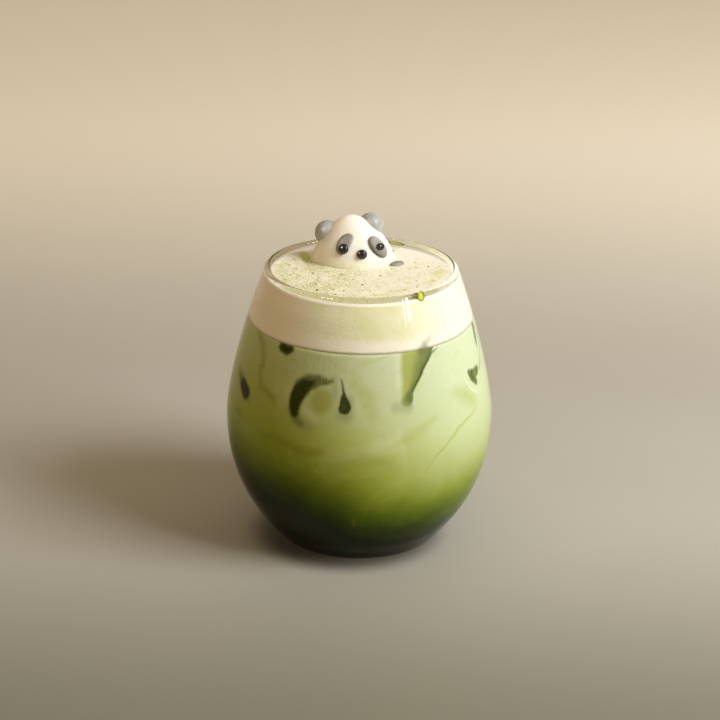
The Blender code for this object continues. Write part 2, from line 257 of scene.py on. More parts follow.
def glass_line():
    """Closed section of the glass: up the inside, over the bead, down the outside and under the foot."""
    climb = BEAD_HEIGHT - FLOOR_CURVE_HEIGHT
    wall = [FLOOR_CURVE_HEIGHT + climb * index / WALL_STEPS for index in range(WALL_STEPS + 1)]
    inside = floor_line(0.0, FLOOR_STEPS) + [inside_point(z, 0.0) for z in wall[1:-1]]
    bead_radius = RIM_BEAD / 2
    bead_centre = wall_point(BEAD_HEIGHT, bead_radius)
    facing = math.degrees(math.atan(-outer_slope(BEAD_HEIGHT)))
    bead = []
    for index in range(BEAD_STEPS + 1):
        angle = math.radians(facing + 180.0 - 180.0 / BEAD_STEPS * index)
        across, up = bead_radius * math.cos(angle), bead_radius * math.sin(angle)
        bead.append((bead_centre[0] + across, bead_centre[1] + up))
    outside = [wall_point(z, 0.0) for z in reversed(wall[:-1])]
    foot_start = wall_point(FOOT_ROUNDING_HEIGHT, 0.0)
    lower = [wall_point(FLOOR_CURVE_HEIGHT - LOWER_STEP * index, 0.0) for index in range(1, 4)]
    foot_corner = (foot_start[0] - FOOT_ROUNDING_HEIGHT * outer_slope(FOOT_ROUNDING_HEIGHT), 0.0)
    foot = bend(foot_start, foot_corner, (FOOT_OUTER_RADIUS, 0.0), 8)
    recess_corner = (FOOT_INNER_RADIUS - RECESS_CORNER_STEP, RECESS_DEPTH)
    recess = bend((FOOT_INNER_RADIUS, 0.0), recess_corner, (RECESS_FLAT_RADIUS, RECESS_DEPTH), 6)
    middle = [(RECESS_MIDDLE_RADIUS, RECESS_DEPTH), (0.0, RECESS_DEPTH)]
    return inside + bead + outside + lower + foot + recess + middle


# Ways of making shapes


def turned(name, line, segments):
    """Extrude a line of (radius, height) points from one vertex, spin it round the Z axis and close it."""
    deselect()
    bpy.ops.mesh.primitive_plane_add(size=MM)
    piece = bpy.context.object
    piece.name = name
    piece.data.name = name
    bpy.ops.object.mode_set(mode="EDIT")
    bpy.ops.mesh.merge(type="CENTER")
    bpy.ops.transform.translate(value=(line[0][0], 0.0, line[0][1]))
    for (radius, height), (next_radius, next_height) in zip(line, line[1:]):
        step = (next_radius - radius, 0.0, next_height - height)
        bpy.ops.mesh.extrude_region_move(TRANSFORM_OT_translate={"value": step})
    bpy.ops.mesh.select_all(action="SELECT")
    bpy.ops.mesh.spin(steps=segments, angle=math.tau, center=(0, 0, 0), axis=(0, 0, 1))
    bpy.ops.mesh.select_all(action="SELECT")
    bpy.ops.mesh.remove_doubles(threshold=0.01 * MM)
    bpy.ops.mesh.normals_make_consistent(inside=False)
    bpy.ops.object.mode_set(mode="OBJECT")
    bpy.ops.object.shade_smooth()
    return piece


def ball(name, radius, segments=48, rings=24):
    """Ball at the origin, ready to be shaped."""
    deselect()
    bpy.ops.mesh.primitive_uv_sphere_add(segments=segments, ring_count=rings, radius=radius)
    piece = bpy.context.object
    piece.name = name
    piece.data.name = name
    bpy.ops.object.shade_smooth()
    return piece


def settle(piece, matrix):
    """Put a piece in its place through its mesh, so that the object itself stays at the origin."""
    piece.data.transform(matrix)
    piece.data.update()


def face_outwards(piece):
    """Turn all faces of a closed piece outwards."""
    pick(piece)
    bpy.ops.object.mode_set(mode="EDIT")
    bpy.ops.mesh.select_all(action="SELECT")
    bpy.ops.mesh.normals_make_consistent(inside=False)
    bpy.ops.object.mode_set(mode="OBJECT")


def roughen(piece, size, height):
    """Uneven, hand-made surface: lumps of one size and height, moved along the normals."""
    lumps = bpy.data.textures.new(piece.name + "_lumps", "CLOUDS")
    lumps.noise_scale = size
    lumps.noise_depth = 1
    displace = piece.modifiers.new("lumps", "DISPLACE")
    displace.texture = lumps
    displace.texture_coords = "LOCAL"
    displace.strength = height
    displace.mid_level = 0.5
    apply_modifier(piece, "lumps")


# Materials


def feed(tree, socket, value):
    """Link a value to a socket, or set the socket to a number, colour or vector."""
    if isinstance(value, Value):
        tree.links.new(value.socket, socket)
    elif isinstance(value, tuple) and socket.type == "RGBA":
        socket.default_value = (*value, 1.0)
    else:
        socket.default_value = value


class Value:
    """Number, colour or vector that changes over a surface, so that its sums can be written plainly."""

    def __init__(self, tree, socket):
        self.tree = tree
        self.socket = socket

    def math(self, operation, *others):
        node = self.tree.nodes.new("ShaderNodeMath")
        node.operation = operation
        for socket, value in zip(node.inputs, (self, *others)):
            feed(self.tree, socket, value)
        return Value(self.tree, node.outputs[0])

    def __add__(self, other):
        return self.math("ADD", other)

    def __sub__(self, other):
        return self.math("SUBTRACT", other)

    def __mul__(self, other):
        return self.math("MULTIPLY", other)

    def __truediv__(self, other):
        return self.math("DIVIDE", other)

    def rise(self, start, end):
        """Smooth change from 0 to 1 as this value goes from start to end."""
        node = self.tree.nodes.new("ShaderNodeMapRange")
        node.interpolation_type = "SMOOTHSTEP"
        for name, value in (("Value", self), ("From Min", start), ("From Max", end)):
            feed(self.tree, node.inputs[name], value)
        return Value(self.tree, node.outputs[0])


class Recipe:
    """Node tree being filled in, with a short call for each kind of step."""

    def __init__(self, tree):
        self.tree = tree

    def add(self, kind, inputs=None, **settings):
        node = self.tree.nodes.new("ShaderNode" + kind)
        for key, value in settings.items():
            setattr(node, key, value)
        for key, value in (inputs or {}).items():
            feed(self.tree, node.inputs[key], value)
        return node

    def value(self, node, name=0):
        return Value(self.tree, node.outputs[name])

    def blend(self, factor, first, second, kind="MIX"):
        node = self.add("Mix", data_type="RGBA", blend_type=kind, clamp_factor=True)
        for index, value in ((0, factor), (6, first), (7, second)):
            feed(self.tree, node.inputs[index], value)
        return self.value(node, 2)

    def noise(self, point, scale, detail=2.0, roughness=0.5, distortion=0.0):
        inputs = {"Vector": point, "Scale": scale, "Detail": detail}
        inputs.update({"Roughness": roughness, "Distortion": distortion})
        return self.value(self.add("TexNoise", inputs), "Fac")

    def ramp(self, value, stops, interpolation="EASE"):
        node = self.add("ValToRGB", {"Fac": value})
        elements = node.color_ramp.elements
        node.color_ramp.interpolation = interpolation
        while len(elements) < len(stops):
            elements.new(1.0)
        for element, (position, colour) in zip(elements, stops):
            element.position = position
            element.color = (*colour, 1.0)
        return self.value(node)

    def stretch(self, point, scale):
        return self.value(self.add("Mapping", {"Vector": point, "Scale": scale}))

    def axis(self, point, name):
        return self.value(self.add("SeparateXYZ", {"Vector": point}), name)

    def length(self, point):
        return self.value(self.add("VectorMath", {"Vector": point}, operation="LENGTH"), "Value")

    def join(self, x, y):
        return self.value(self.add("CombineXYZ", {"X": x, "Y": y}))

    def points(self):
        return self.value(self.add("TexCoord"), "Object")

    def attribute(self, name):
        return self.value(self.add("Attribute", attribute_name=name), "Fac")

    def group(self, tree, **inputs):
        node = self.tree.nodes.new("ShaderNodeGroup")
        node.node_tree = tree
        for key, value in inputs.items():
            feed(self.tree, node.inputs[key.replace("_", " ")], value)
        return node


def new_group(name, inputs, outputs):
    """Shader node group with named inputs and outputs, each given with its kind."""
    tree = bpy.data.node_groups.new(name, "ShaderNodeTree")
    for label, kind in inputs:
        tree.interface.new_socket(label, in_out="INPUT", socket_type="NodeSocket" + kind)
    for label, kind in outputs:
        tree.interface.new_socket(label, in_out="OUTPUT", socket_type="NodeSocket" + kind)
    given = tree.nodes.new("NodeGroupInput").outputs
    results = tree.nodes.new("NodeGroupOutput").inputs
    return tree, Recipe(tree), {label: Value(tree, given[label]) for label, _ in inputs}, results


# What is drawn on the drink: millimetres round the glass for each degree, how its edges are shaken,
# and how close the upright threads stand and how fast they change on the way up
MM_PER_DEGREE = 0.77
SHAKE_SCALE = 240.0
SHAKE_REACH = 1.3
THREADS_PER_MM = 1.25
THREAD_CHANGE = 0.10


def wall_place_group():
    """Where a point of the drink or foam lies behind the glass.

    Turn is in degrees from the viewer's side, Height in millimetres, and Place holds the way round
    and the height in millimetres, shaken a little so that what is drawn on it has natural edges.
    Streaks is a pattern of fine upright threads.
    """
    outputs = [("Turn", "Float"), ("Height", "Float"), ("Place", "Vector"), ("Streaks", "Float")]
    tree, recipe, _, results = new_group("wall_place", [], outputs)
    points = recipe.points()
    turn = recipe.axis(points, "X").math("ARCTAN2", recipe.axis(points, "Y") * -1.0).math("DEGREES")
    height = recipe.axis(points, "Z") / MM
    mirrored = recipe.stretch(points, (SHAKE_SCALE, -SHAKE_SCALE, -SHAKE_SCALE))
    shake_across = (recipe.noise(points, SHAKE_SCALE, 3.0, 0.6) - 0.5) * SHAKE_REACH
    shake_up = (recipe.noise(mirrored, 1.0, 3.0, 0.6) - 0.5) * SHAKE_REACH
    around = turn * MM_PER_DEGREE
    threads = recipe.noise(recipe.join(around * THREADS_PER_MM, height * THREAD_CHANGE), 1.0, 2.0, 0.55)
    feed(tree, results["Turn"], turn)
    feed(tree, results["Height"], height)
    feed(tree, results["Place"], recipe.join(around + shake_across, height + shake_up))
    feed(tree, results["Streaks"], threads)
    return tree


def stroke_group():
    """How far a place is from a brush stroke between two points, whose half width changes on the way."""
    inputs = [("Place", "Vector"), ("Start", "Vector"), ("Finish", "Vector")]
    inputs += [("Start Half", "Float"), ("Finish Half", "Float")]
    tree, recipe, given, results = new_group("brush_stroke", inputs, [("Distance", "Float")])

    def vector(operation, *values):
        node = recipe.add("VectorMath", operation=operation)
        for socket, value in zip(node.inputs, values):
            feed(tree, socket, value)
        return node

    line = recipe.value(vector("SUBTRACT", given["Finish"], given["Start"]))
    offset = recipe.value(vector("SUBTRACT", given["Place"], given["Start"]))
    along = recipe.value(vector("DOT_PRODUCT", offset, line), "Value")
    length = recipe.value(vector("DOT_PRODUCT", line, line), "Value") + 0.0001
    share = (along / length).math("MAXIMUM", 0.0).math("MINIMUM", 1.0)
    scaled = recipe.add("VectorMath", operation="SCALE")
    feed(tree, scaled.inputs["Vector"], line)
    feed(tree, scaled.inputs["Scale"], share)
    gap = recipe.value(vector("SUBTRACT", offset, recipe.value(scaled)))
    away = recipe.value(vector("LENGTH", gap), "Value")
    half = given["Start Half"] + (given["Finish Half"] - given["Start Half"]) * share
    feed(tree, results["Distance"], away - half)
    return tree


WALL_PLACE = wall_place_group()
BRUSH_STROKE = stroke_group()


def brushed(recipe, place, points, softness, shift=0.0):
    """Mask of a stroke through (turn, height, half width) points, with its softness in millimetres."""
    nearest = None
    for start, finish in zip(points, points[1:] or points):
        node = recipe.group(
            BRUSH_STROKE, Place=place,
            Start=((start[0] + shift) * MM_PER_DEGREE, start[1], 0.0), Start_Half=start[2],
            Finish=((finish[0] + shift) * MM_PER_DEGREE, finish[1], 0.0), Finish_Half=finish[2],
        )
        distance = recipe.value(node)
        nearest = distance if nearest is None else nearest.math("MINIMUM", distance)
    return nearest.rise(0.5 * softness, -0.5 * softness)


def new_material(name, roughness, specular=0.5):
    """Material with a Principled shader and constants set on its own sockets."""
    material = bpy.data.materials.new(name)
    material.use_nodes = True
    recipe = Recipe(material.node_tree)
    shader = material.node_tree.nodes["Principled BSDF"]
    shader.inputs["Roughness"].default_value = roughness
    shader.inputs["Specular IOR Level"].default_value = specular
    return material, recipe, shader


def bump(recipe, shader, height, distance):
    node = recipe.add("Bump", {"Height": height, "Distance": distance, "Strength": 0.5})
    feed(recipe.tree, shader.inputs["Normal"], recipe.value(node))


def roughen_dough(recipe, shader, points):
    """Fine uneven skin of soft dough."""
    bump(recipe, shader, recipe.noise(points, 1400.0, 3.0, 0.6), 0.00006)


def paint(recipe, shader, colour):
    feed(recipe.tree, shader.inputs["Base Color"], colour)


# Glass: it bends light in full at its rim and foot, and less between them, where it has fewer reflections
GLASS_TINT = (0.985, 0.992, 0.985, 1.0)
GLASS_REFLECTION_TINT = (0.60, 0.60, 0.56, 1.0)
LOW_BENDING = 1.22
EXTRA_BENDING = 0.27
RIM_BENDING_LEVELS = (0.0845, 0.0925)
FOOT_BENDING_LEVELS = (0.0095, 0.0060)


def glass_material():
    """Clear glass that lets light through to its contents, with fuller reflections at its rim and foot."""
    material, recipe, shader = new_material("clear_glass", 0.0)
    shader.inputs["Base Color"].default_value = GLASS_TINT
    shader.inputs["Transmission Weight"].default_value = 1.0
    shader.inputs["Specular Tint"].default_value = GLASS_REFLECTION_TINT
    level = recipe.axis(recipe.points(), "Z")
    share = level.rise(*RIM_BENDING_LEVELS) + level.rise(*FOOT_BENDING_LEVELS)
    feed(recipe.tree, shader.inputs["IOR"], share * EXTRA_BENDING + LOW_BENDING)
    clear = recipe.add("BsdfTransparent")
    path = recipe.add("LightPath")
    passing = recipe.value(path, "Is Shadow Ray").math("MAXIMUM", recipe.value(path, "Is Diffuse Ray"))
    mixed = recipe.add("MixShader", {0: passing})
    recipe.tree.links.new(shader.outputs[0], mixed.inputs[1])
    recipe.tree.links.new(clear.outputs[0], mixed.inputs[2])
    recipe.tree.links.new(mixed.outputs[0], material.node_tree.nodes["Material Output"].inputs["Surface"])
    return material


# Shades of the drink by its level in millimetres, from the settled matcha at the bottom to the milky top
DRINK_SHADES = [
    (0.0, (0.006, 0.009, 0.002)),
    (11.0, (0.009, 0.015, 0.002)),
    (17.5, (0.036, 0.062, 0.004)),
    (24.0, (0.105, 0.160, 0.010)),
    (31.2, (0.240, 0.308, 0.030)),
    (38.5, (0.345, 0.408, 0.070)),
    (46.5, (0.415, 0.478, 0.140)),
    (56.0, (0.490, 0.565, 0.290)),
    (67.0, (0.535, 0.608, 0.385)),
    (80.0, (0.560, 0.632, 0.445)),
]
DEEPEST_SHIFT = 13.0

ICE_BLACK = (0.026, 0.032, 0.005)
ICE_GREEN = (0.075, 0.105, 0.018)
ICE_MIST = (0.240, 0.290, 0.150)
ICE_PALE = (0.660, 0.700, 0.520)
DISC_GREEN = (0.320, 0.340, 0.058)
OLIVE = (0.240, 0.250, 0.022)
AMBER_GLINT = (0.260, 0.170, 0.035)
LEAF = (0.330, 0.390, 0.035)

# Thin marbling in the drink, and one small painted glint: shade, strength, softness in millimetres,
# and the points of its line, each a turn, a height and a half width in millimetres
MARBLING_AND_GLINT = [
    (OLIVE, 0.52, 3.6, [(-66, 80, 0.9), (-57, 76, 1.2), (-54, 72, 1.2),
                        (-54, 67, 1.1), (-52, 63, 1.0), (-42, 61, 1.2)]),
    (OLIVE, 0.55, 3.4, [(-43, 48.5, 1.0), (-33, 47.5, 1.2), (-23, 46, 1.4), (-16, 47, 0.8)]),
    (OLIVE, 0.55, 2.4, [(-69, 50.6, 0.8), (-64, 50.2, 1.4)]),
    # a small painted warm glint low on the drink
    (AMBER_GLINT, 0.60, 0.8, [(-1.6, 21.4, 0.25), (-1.4, 19.4, 0.3)]),
    (OLIVE, 0.30, 5.0, [(-12, 42, 1.5), (2, 45.5, 2.0), (12, 44, 1.2)]),
    (LEAF, 0.60, 1.0, [(64, 54, 0.1), (56, 52.4, 0.35), (49, 50.7, 0.35),
                       (44, 48, 0.35), (35, 43.3, 0.25), (30, 38.4, 0.1)]),
    (LEAF, 0.40, 6.0, [(50, 62.5, 1.5), (57, 60, 3.0), (62, 57, 2.0)]),
    (LEAF, 0.30, 5.0, [(-2, 70, 1.5), (4, 66, 2.5), (6, 60, 1.5)]),
    (LEAF, 0.30, 4.0, [(14, 49, 0.5), (24, 52, 1.8), (36, 57, 0.8)]),
    (OLIVE, 0.50, 3.0, [(102, 73, 0.8), (112, 66, 1.5), (126, 62, 0.9), (134, 55, 0.5)]),
    (LEAF, 0.55, 1.6, [(92, 50, 0.2), (106, 47, 0.7), (122, 41, 0.4)]),
    (OLIVE, 0.60, 3.4, [(-160, 77, 0.8), (-152, 69, 1.6), (-160, 61, 1.4), (-174, 58, 0.8)]),
    (OLIVE, 0.55, 3.0, [(-134, 53, 0.8), (-120, 49, 1.6), (-104, 50, 0.9)]),
    (LEAF, 0.45, 4.0, [(146, 52, 1.0), (160, 49, 2.4), (176, 50, 1.0)]),
]

# Ice that touches the glass, a soft mist first, then its dark heart, and a small painted glint on it last
ROUND_ICE = [
    (ICE_MIST, 0.34, 3.4, [(-26.4, 55.8, 2.2), (-21.5, 55.0, 1.8)]),
    (ICE_MIST, 0.42, 3.0, [(-12, 71, 1.6), (-11.2, 66, 1.3)]),
    (ICE_PALE, 0.40, 3.0, [(-25.0, 60.0, 1.6), (-20.0, 57.6, 1.2)]),
    (DISC_GREEN, 0.72, 3.2, [(-17.3, 63.7, 4.0)]),
    (ICE_GREEN, 0.60, 3.0, [(-30.4, 58.6, 1.6), (-28.8, 56.6, 1.4), (-26.0, 55.2, 0.9)]),
    (ICE_GREEN, 0.84, 1.8, [(-12.6, 70.6, 0.4), (-15.5, 70.0, 1.1), (-19.5, 70.2, 1.9), (-23.8, 69.2, 2.7),
                            (-27.6, 67.0, 3.2), (-30.3, 63.6, 2.6), (-31.0, 60.2, 1.9), (-30.0, 58.2, 1.2)]),
    (ICE_BLACK, 0.90, 1.8, [(-22.2, 69.6, 0.9), (-26.0, 68.0, 2.1), (-28.8, 65.4, 2.6),
                            (-30.2, 62.0, 2.4), (-29.9, 58.9, 1.7)]),
    # painted glint on the ice's dark heart
    (ICE_PALE, 0.60, 0.6, [(-22.9, 66.1, 0.18), (-21.8, 66.5, 0.12)]),
]
DROP_ICE = [
    (ICE_MIST, 0.62, 4.0, [(-6.6, 60.4, 2.9), (-5.0, 64.4, 1.6)]),
    (ICE_BLACK, 0.95, 0.9, [(-6.5, 62.4, 2.15), (-7.0, 65.0, 1.15), (-7.4, 67.4, 0.42), (-8.7, 71.4, 0.14)]),
    (ICE_GREEN, 0.55, 1.2, [(-7.0, 62.8, 0.9)]),
]
UNDER_FOAM_ICE = [
    (ICE_GREEN, 0.85, 1.2, [(-43.2, 78.0, 1.75), (-39.8, 77.6, 1.9), (-36.8, 78.3, 1.5)]),
    (ICE_BLACK, 0.88, 1.6, [(-42.6, 77.8, 1.3), (-39.8, 77.4, 1.4), (-37.6, 78.0, 1.1)]),
]
LEFT_ICE = [
    (ICE_MIST, 0.60, 2.6, [(-75.0, 63.2, 1.4), (-69.0, 61.4, 2.2), (-60.0, 57.2, 1.8)]),
    (ICE_GREEN, 0.60, 2.0, [(-71.5, 62.0, 1.0), (-66.0, 60.2, 1.9)]),
    (ICE_BLACK, 0.96, 1.8, [(-67.0, 60.2, 1.9), (-62.6, 58.6, 2.6)]),
]
SLANTED_ICE = [
    (ICE_MIST, 0.42, 3.2, [(16.6, 62.2, 1.6), (22.6, 61.0, 1.2)]),
    (ICE_PALE, 0.50, 1.8, [(19.0, 78.0, 0.8), (18.2, 69.0, 0.9)]),
]
SLANTED_EDGES = [
    (ICE_GREEN, 0.45, 1.8, [(22.6, 65.6, 1.0), (21.6, 63.8, 1.6)]),
    (ICE_GREEN, 0.85, 0.9, [(42.4, 78.7, 0.12), (37.9, 77.4, 0.34), (34.6, 75.2, 0.45), (31.4, 72.7, 0.45),
                            (27.8, 69.8, 0.42), (25.2, 66.6, 0.42), (24.5, 63.6, 0.35)]),
]
RIGHT_ICE = [
    (ICE_PALE, 0.80, 0.9, [(57.8, 65.4, 0.35), (61.4, 61.2, 0.5), (67.0, 58.4, 0.45)]),
    (ICE_MIST, 0.55, 1.2, [(87.8, 75.4, 0.6), (84.3, 71.3, 0.6), (79.6, 67.5, 0.5), (74.8, 65.0, 0.6)]),
    (ICE_GREEN, 0.75, 1.4, [(82.0, 78.0, 1.9), (80.5, 74.8, 1.5), (79.0, 72.0, 0.7)]),
    (ICE_GREEN, 0.88, 1.2, [(62.4, 66.6, 0.9), (65.0, 64.8, 2.1), (67.6, 62.2, 1.3)]),
    (ICE_GREEN, 0.88, 1.2, [(66.0, 64.8, 1.8), (70.6, 65.2, 1.4), (72.2, 65.8, 0.8)]),
    (LEAF, 0.45, 2.2, [(67.4, 64.8, 0.9)]),
]
# Each group of marks with the turn at which it is drawn again, for the sides that the photo doesn't show
ICE = [
    (ROUND_ICE, 186.0),
    (DROP_ICE, 178.0),
    (UNDER_FOAM_ICE, 150.0),
    (LEFT_ICE, -50.0),
    (SLANTED_ICE, -172.0),
    (RIGHT_ICE, 70.0),
]
# Slanted face of ice: where its two sides stand at the top of its foot, and how they lean, in millimetres
FACE_FOOT = 66.0
FACE_LEFT = 15.5
FACE_LEFT_SLOPE = 0.07
FACE_RIGHT = 19.0
FACE_SLOPE = 0.90
FACE_SHADES = [
    (0.0, (0.36, 0.40, 0.10)),
    (0.35, (0.32, 0.37, 0.085)),
    (0.62, (0.175, 0.215, 0.055)),
    (1.0, (0.085, 0.11, 0.03)),
]
FACE_BACK_TURN = -172.0
FACE_LOW_END = (60.8, 64.2)
FACE_STRENGTH = 0.92
SLANTED_TIP = [
    (ICE_GREEN, 0.62, 3.4, [(32.0, 79.2, 0.9), (34.8, 80.4, 0.8)]),
    (ICE_MIST, 0.50, 3.6, [(34.6, 80.4, 0.9), (38.8, 82.2, 0.6)]),
]
# Softer changes in the drink and the foam, and the painted shadow line between them
INTERFACE_SHADOW = (0.20, 0.20, 0.12)
WISP_GREEN = (0.40, 0.45, 0.09)
CLOUD_MILK = (0.66, 0.71, 0.46)
FINE_GREEN = (0.50, 0.56, 0.16)
RIGHT_MILK = (0.60, 0.69, 0.47)
THREAD_GREEN = (0.34, 0.40, 0.12)
# painted shade that darkens the drink's left side
LEFT_PAINTED_SHADE = (0.80, 0.80, 0.62)
WHITE = (1.0, 1.0, 1.0)
# where the drink's painted shade at the left begins and where it is full
MIDDLE_SIDE = 0.012
LEFT_SIDE = -0.036
CREAM_DARK = (0.86, 0.84, 0.74)
CREAM_LIGHT = (0.91, 0.895, 0.81)
CREAM_AT_WALL = (0.77, 0.75, 0.60)
SEEP_GREEN = (0.66, 0.69, 0.37)
FAR_SEEP_GREEN = (0.68, 0.71, 0.38)
LEFT_SHADED_CREAM = (0.84, 0.72, 0.58)
DUSTED_CREAM = (0.84, 0.84, 0.49)
SPECKLE_GREEN = (0.40, 0.40, 0.12)
PALE_POWDER = (0.92, 0.92, 0.70)
WET_GREEN = (0.60, 0.62, 0.13)
RING_OLIVE = (0.47, 0.46, 0.23)
LIT_EDGE_CREAM = (0.95, 0.93, 0.82)


def draw_marks(recipe, place, colour, marks, shift=0.0):
    for shade, strength, softness, points in marks:
        mask = brushed(recipe, place, points, softness, shift)
        colour = recipe.blend(mask * strength, colour, shade)
    return colour


def draw_face(recipe, place, colour, shift):
    """Slanted face of ice, bright at its left and dark at its right."""
    across = recipe.axis(place, "X") - shift * MM_PER_DEGREE
    level = recipe.axis(place, "Y")
    right = ((level - FACE_FOOT) * FACE_SLOPE).math("MAXIMUM", 0.0) + FACE_RIGHT
    left = (level - FACE_FOOT) * FACE_LEFT_SLOPE + FACE_LEFT
    mask = (across - left).rise(-1.2, 1.2) * (right - across).rise(-0.5, 0.6) * level.rise(*FACE_LOW_END)
    share = (across - left) / (right - left)
    return recipe.blend(mask * FACE_STRENGTH, colour, recipe.ramp(share, FACE_SHADES, "LINEAR"))


def shadow_line_strength(turn):
    """Strength of the thin painted shadow line between drink and foam, clearest at the left of the viewer's
    side.
    """
    front = turn.rise(-70.0, -50.0) * turn.rise(64.0, 40.0)
    return front * (turn.rise(8.0, -42.0) * 0.42 + 0.08) + 0.04


def wall_values(recipe):
    """Turn, Height, Place and Streaks of the wall place group."""
    wall = recipe.group(WALL_PLACE)
    return [recipe.value(wall, name) for name in ("Turn", "Height", "Place", "Streaks")]


def drink_material():
    """Milky green drink, pale above and nearly black below, with marbling and dark ice showing through,
    painted shade at its left side, a painted shadow line under the foam and small painted glints.
    """
    material, recipe, shader = new_material("milky_matcha", 0.6, 0.0)
    turn, height, place, streaks = wall_values(recipe)
    points = recipe.points()
    # share of painted shade, growing towards the drink's left side
    side = recipe.axis(points, "X").rise(MIDDLE_SIDE, LEFT_SIDE)
    clouds = recipe.noise(points, 34.0, 4.0, 0.55, 1.2)
    wisps = recipe.noise(recipe.stretch(points, (70.0, 70.0, 130.0)), 1.0, 5.0, 0.62, 2.2)
    fine = recipe.noise(points, 620.0, 3.0, 0.6)
    right = turn.rise(6.0, 56.0) * turn.rise(140.0, 95.0)
    # the dark bottom, uneven and higher at the left than at the right; its rise at the left is painted shade
    level = height + (clouds - 0.5) * 11.0 + (wisps - 0.5) * 4.0 - side * DEEPEST_SHIFT + right * 2.6
    top_level = DRINK_SHADES[-1][0]
    stops = [(at / top_level, shade) for at, shade in DRINK_SHADES]
    colour = recipe.ramp(level / top_level, stops, "LINEAR")
    # milk and matcha that have not yet mixed
    upper = height.rise(30.0, 56.0)
    colour = recipe.blend(wisps.rise(0.50, 0.70) * upper * 0.34, colour, WISP_GREEN)
    colour = recipe.blend(clouds.rise(0.52, 0.76) * upper * 0.40, colour, CLOUD_MILK)
    colour = recipe.blend(fine.rise(0.35, 0.75) * upper * 0.14, colour, FINE_GREEN)
    milk = right * (height + (clouds - 0.5) * 14.0).rise(25.0, 45.0)
    colour = recipe.blend(milk * 0.50, colour, RIGHT_MILK)
    beside_ice = turn.rise(-36.0, -26.0) * turn.rise(0.0, -10.0)
    threads = streaks.rise(0.50, 0.70) * height.rise(66.0, 74.0) * beside_ice
    colour = recipe.blend(threads * 0.38, colour, THREAD_GREEN)
    colour = draw_marks(recipe, place, colour, MARBLING_AND_GLINT)
    # ice, with milk running down over its upper edge
    under = colour
    for marks, back_turn in ICE:
        for shift in (0.0, back_turn):
            colour = draw_marks(recipe, place, colour, marks, shift)
    for shift in (0.0, FACE_BACK_TURN):
        colour = draw_face(recipe, place, colour, shift)
        colour = draw_marks(recipe, place, colour, SLANTED_EDGES, shift)
    colour = draw_marks(recipe, place, colour, SLANTED_TIP)
    ice_top = height.rise(68.5, 72.5) * height.rise(75.5, 74.0)
    veil = streaks.rise(0.42, 0.66) * ice_top * turn.rise(20.0, 10.0)
    colour = recipe.blend(veil * 0.42, colour, under)
    # painted shade: the darker left side, and the painted shadow line below the foam
    colour = recipe.blend(1.0, colour, recipe.blend(side, WHITE, LEFT_PAINTED_SHADE), "MULTIPLY")
    colour = recipe.blend(height.rise(78.95, 79.2) * shadow_line_strength(turn), colour, INTERFACE_SHADOW)
    paint(recipe, shader, colour)
    return material


def foam_side(recipe, cream, blotches):
    """Colour of the foam behind the glass: cream with green seeping down at the front and back, painted
    shade at the left, a painted shadow line at the drink and painted light along the top edge.
    """
    turn, height, place, _ = wall_values(recipe)
    depth = height + (blotches - 0.5) * 6.0
    seep = depth.rise(82.2, 85.0) * turn.rise(-46.0, -14.0) * turn.rise(62.0, 16.0)
    side = recipe.blend(0.55, cream, CREAM_AT_WALL)
    side = recipe.blend(seep * (blotches.rise(0.32, 0.66) * 0.55 + 0.35), side, SEEP_GREEN)
    # painted shade: warmer, darker cream at the foam's left side
    side = recipe.blend(turn.rise(-22.0, -50.0) * 0.35, side, LEFT_SHADED_CREAM)
    far = turn.math("ABSOLUTE").rise(95.0, 125.0)
    far_seep = depth.rise(83.0, 86.0) * blotches.rise(0.48, 0.62) * far
    side = recipe.blend(far_seep * 0.6, side, FAR_SEEP_GREEN)
    side = draw_marks(recipe, place, side, SLANTED_TIP)
    # painted shadow line on the foam just above the drink
    side = recipe.blend(height.rise(79.6, 79.4) * shadow_line_strength(turn), side, INTERFACE_SHADOW)
    # painted light along the foam's top edge behind the glass
    return recipe.blend(height.rise(93.6, 94.4) * 0.8, side, LIT_EDGE_CREAM)


def foam_face(recipe, cream, blotches, points):
    """Colour of the foam's top: cream under powder, with wet stains and an olive ring at the wall."""
    dusting = recipe.attribute("dusting")
    stain = recipe.attribute("stain")
    grain = recipe.noise(points, 2100.0, 2.0, 0.7)
    coarse = recipe.noise(points, 620.0, 3.0, 0.65)
    speckle = (grain * coarse).rise(0.22, 0.33)
    face = recipe.blend(dusting * 0.66, cream, DUSTED_CREAM)
    face = recipe.blend(speckle * dusting * 0.8, face, SPECKLE_GREEN)
    face = recipe.blend(grain.rise(0.56, 0.70) * dusting * 0.5, face, PALE_POWDER)
    wet = (stain + (coarse - 0.5) * 0.7).rise(0.15, 0.9)
    face = recipe.blend(wet * 0.8, face, WET_GREEN)
    # the ring is widest at the front, and isn't seen at the back
    reach = recipe.length(recipe.stretch(points, (1.0, 1.0, 0.0)))
    away = recipe.axis(points, "Y")
    outward = reach + away.rise(-0.014, -0.024) * 0.0034 + (blotches - 0.5) * 0.0014
    ring = outward.rise(FOAM_EDGE - 0.0013, FOAM_EDGE - 0.0001)
    ring = ring * reach.rise(FOAM_EDGE - 0.0002, FOAM_EDGE - 0.0009) * away.rise(0.012, -0.010)
    return recipe.blend(ring * 0.75, face, RING_OLIVE)


def foam_material():
    """Cream foam: white at the side with green seeping in, and dusted with green powder on top."""
    material, recipe, shader = new_material("cream_foam", 0.6, 0.2)
    points = recipe.points()
    blotches = recipe.noise(points, 75.0, 4.0, 0.6, 1.0)
    cream = recipe.blend(blotches.rise(0.35, 0.65), CREAM_DARK, CREAM_LIGHT)
    side = foam_side(recipe, cream, blotches)
    face = foam_face(recipe, cream, blotches, points)
    paint(recipe, shader, recipe.blend(recipe.attribute("top"), side, face))
    bump(recipe, shader, recipe.noise(points, 900.0, 3.0, 0.65), 0.00018)
    return material


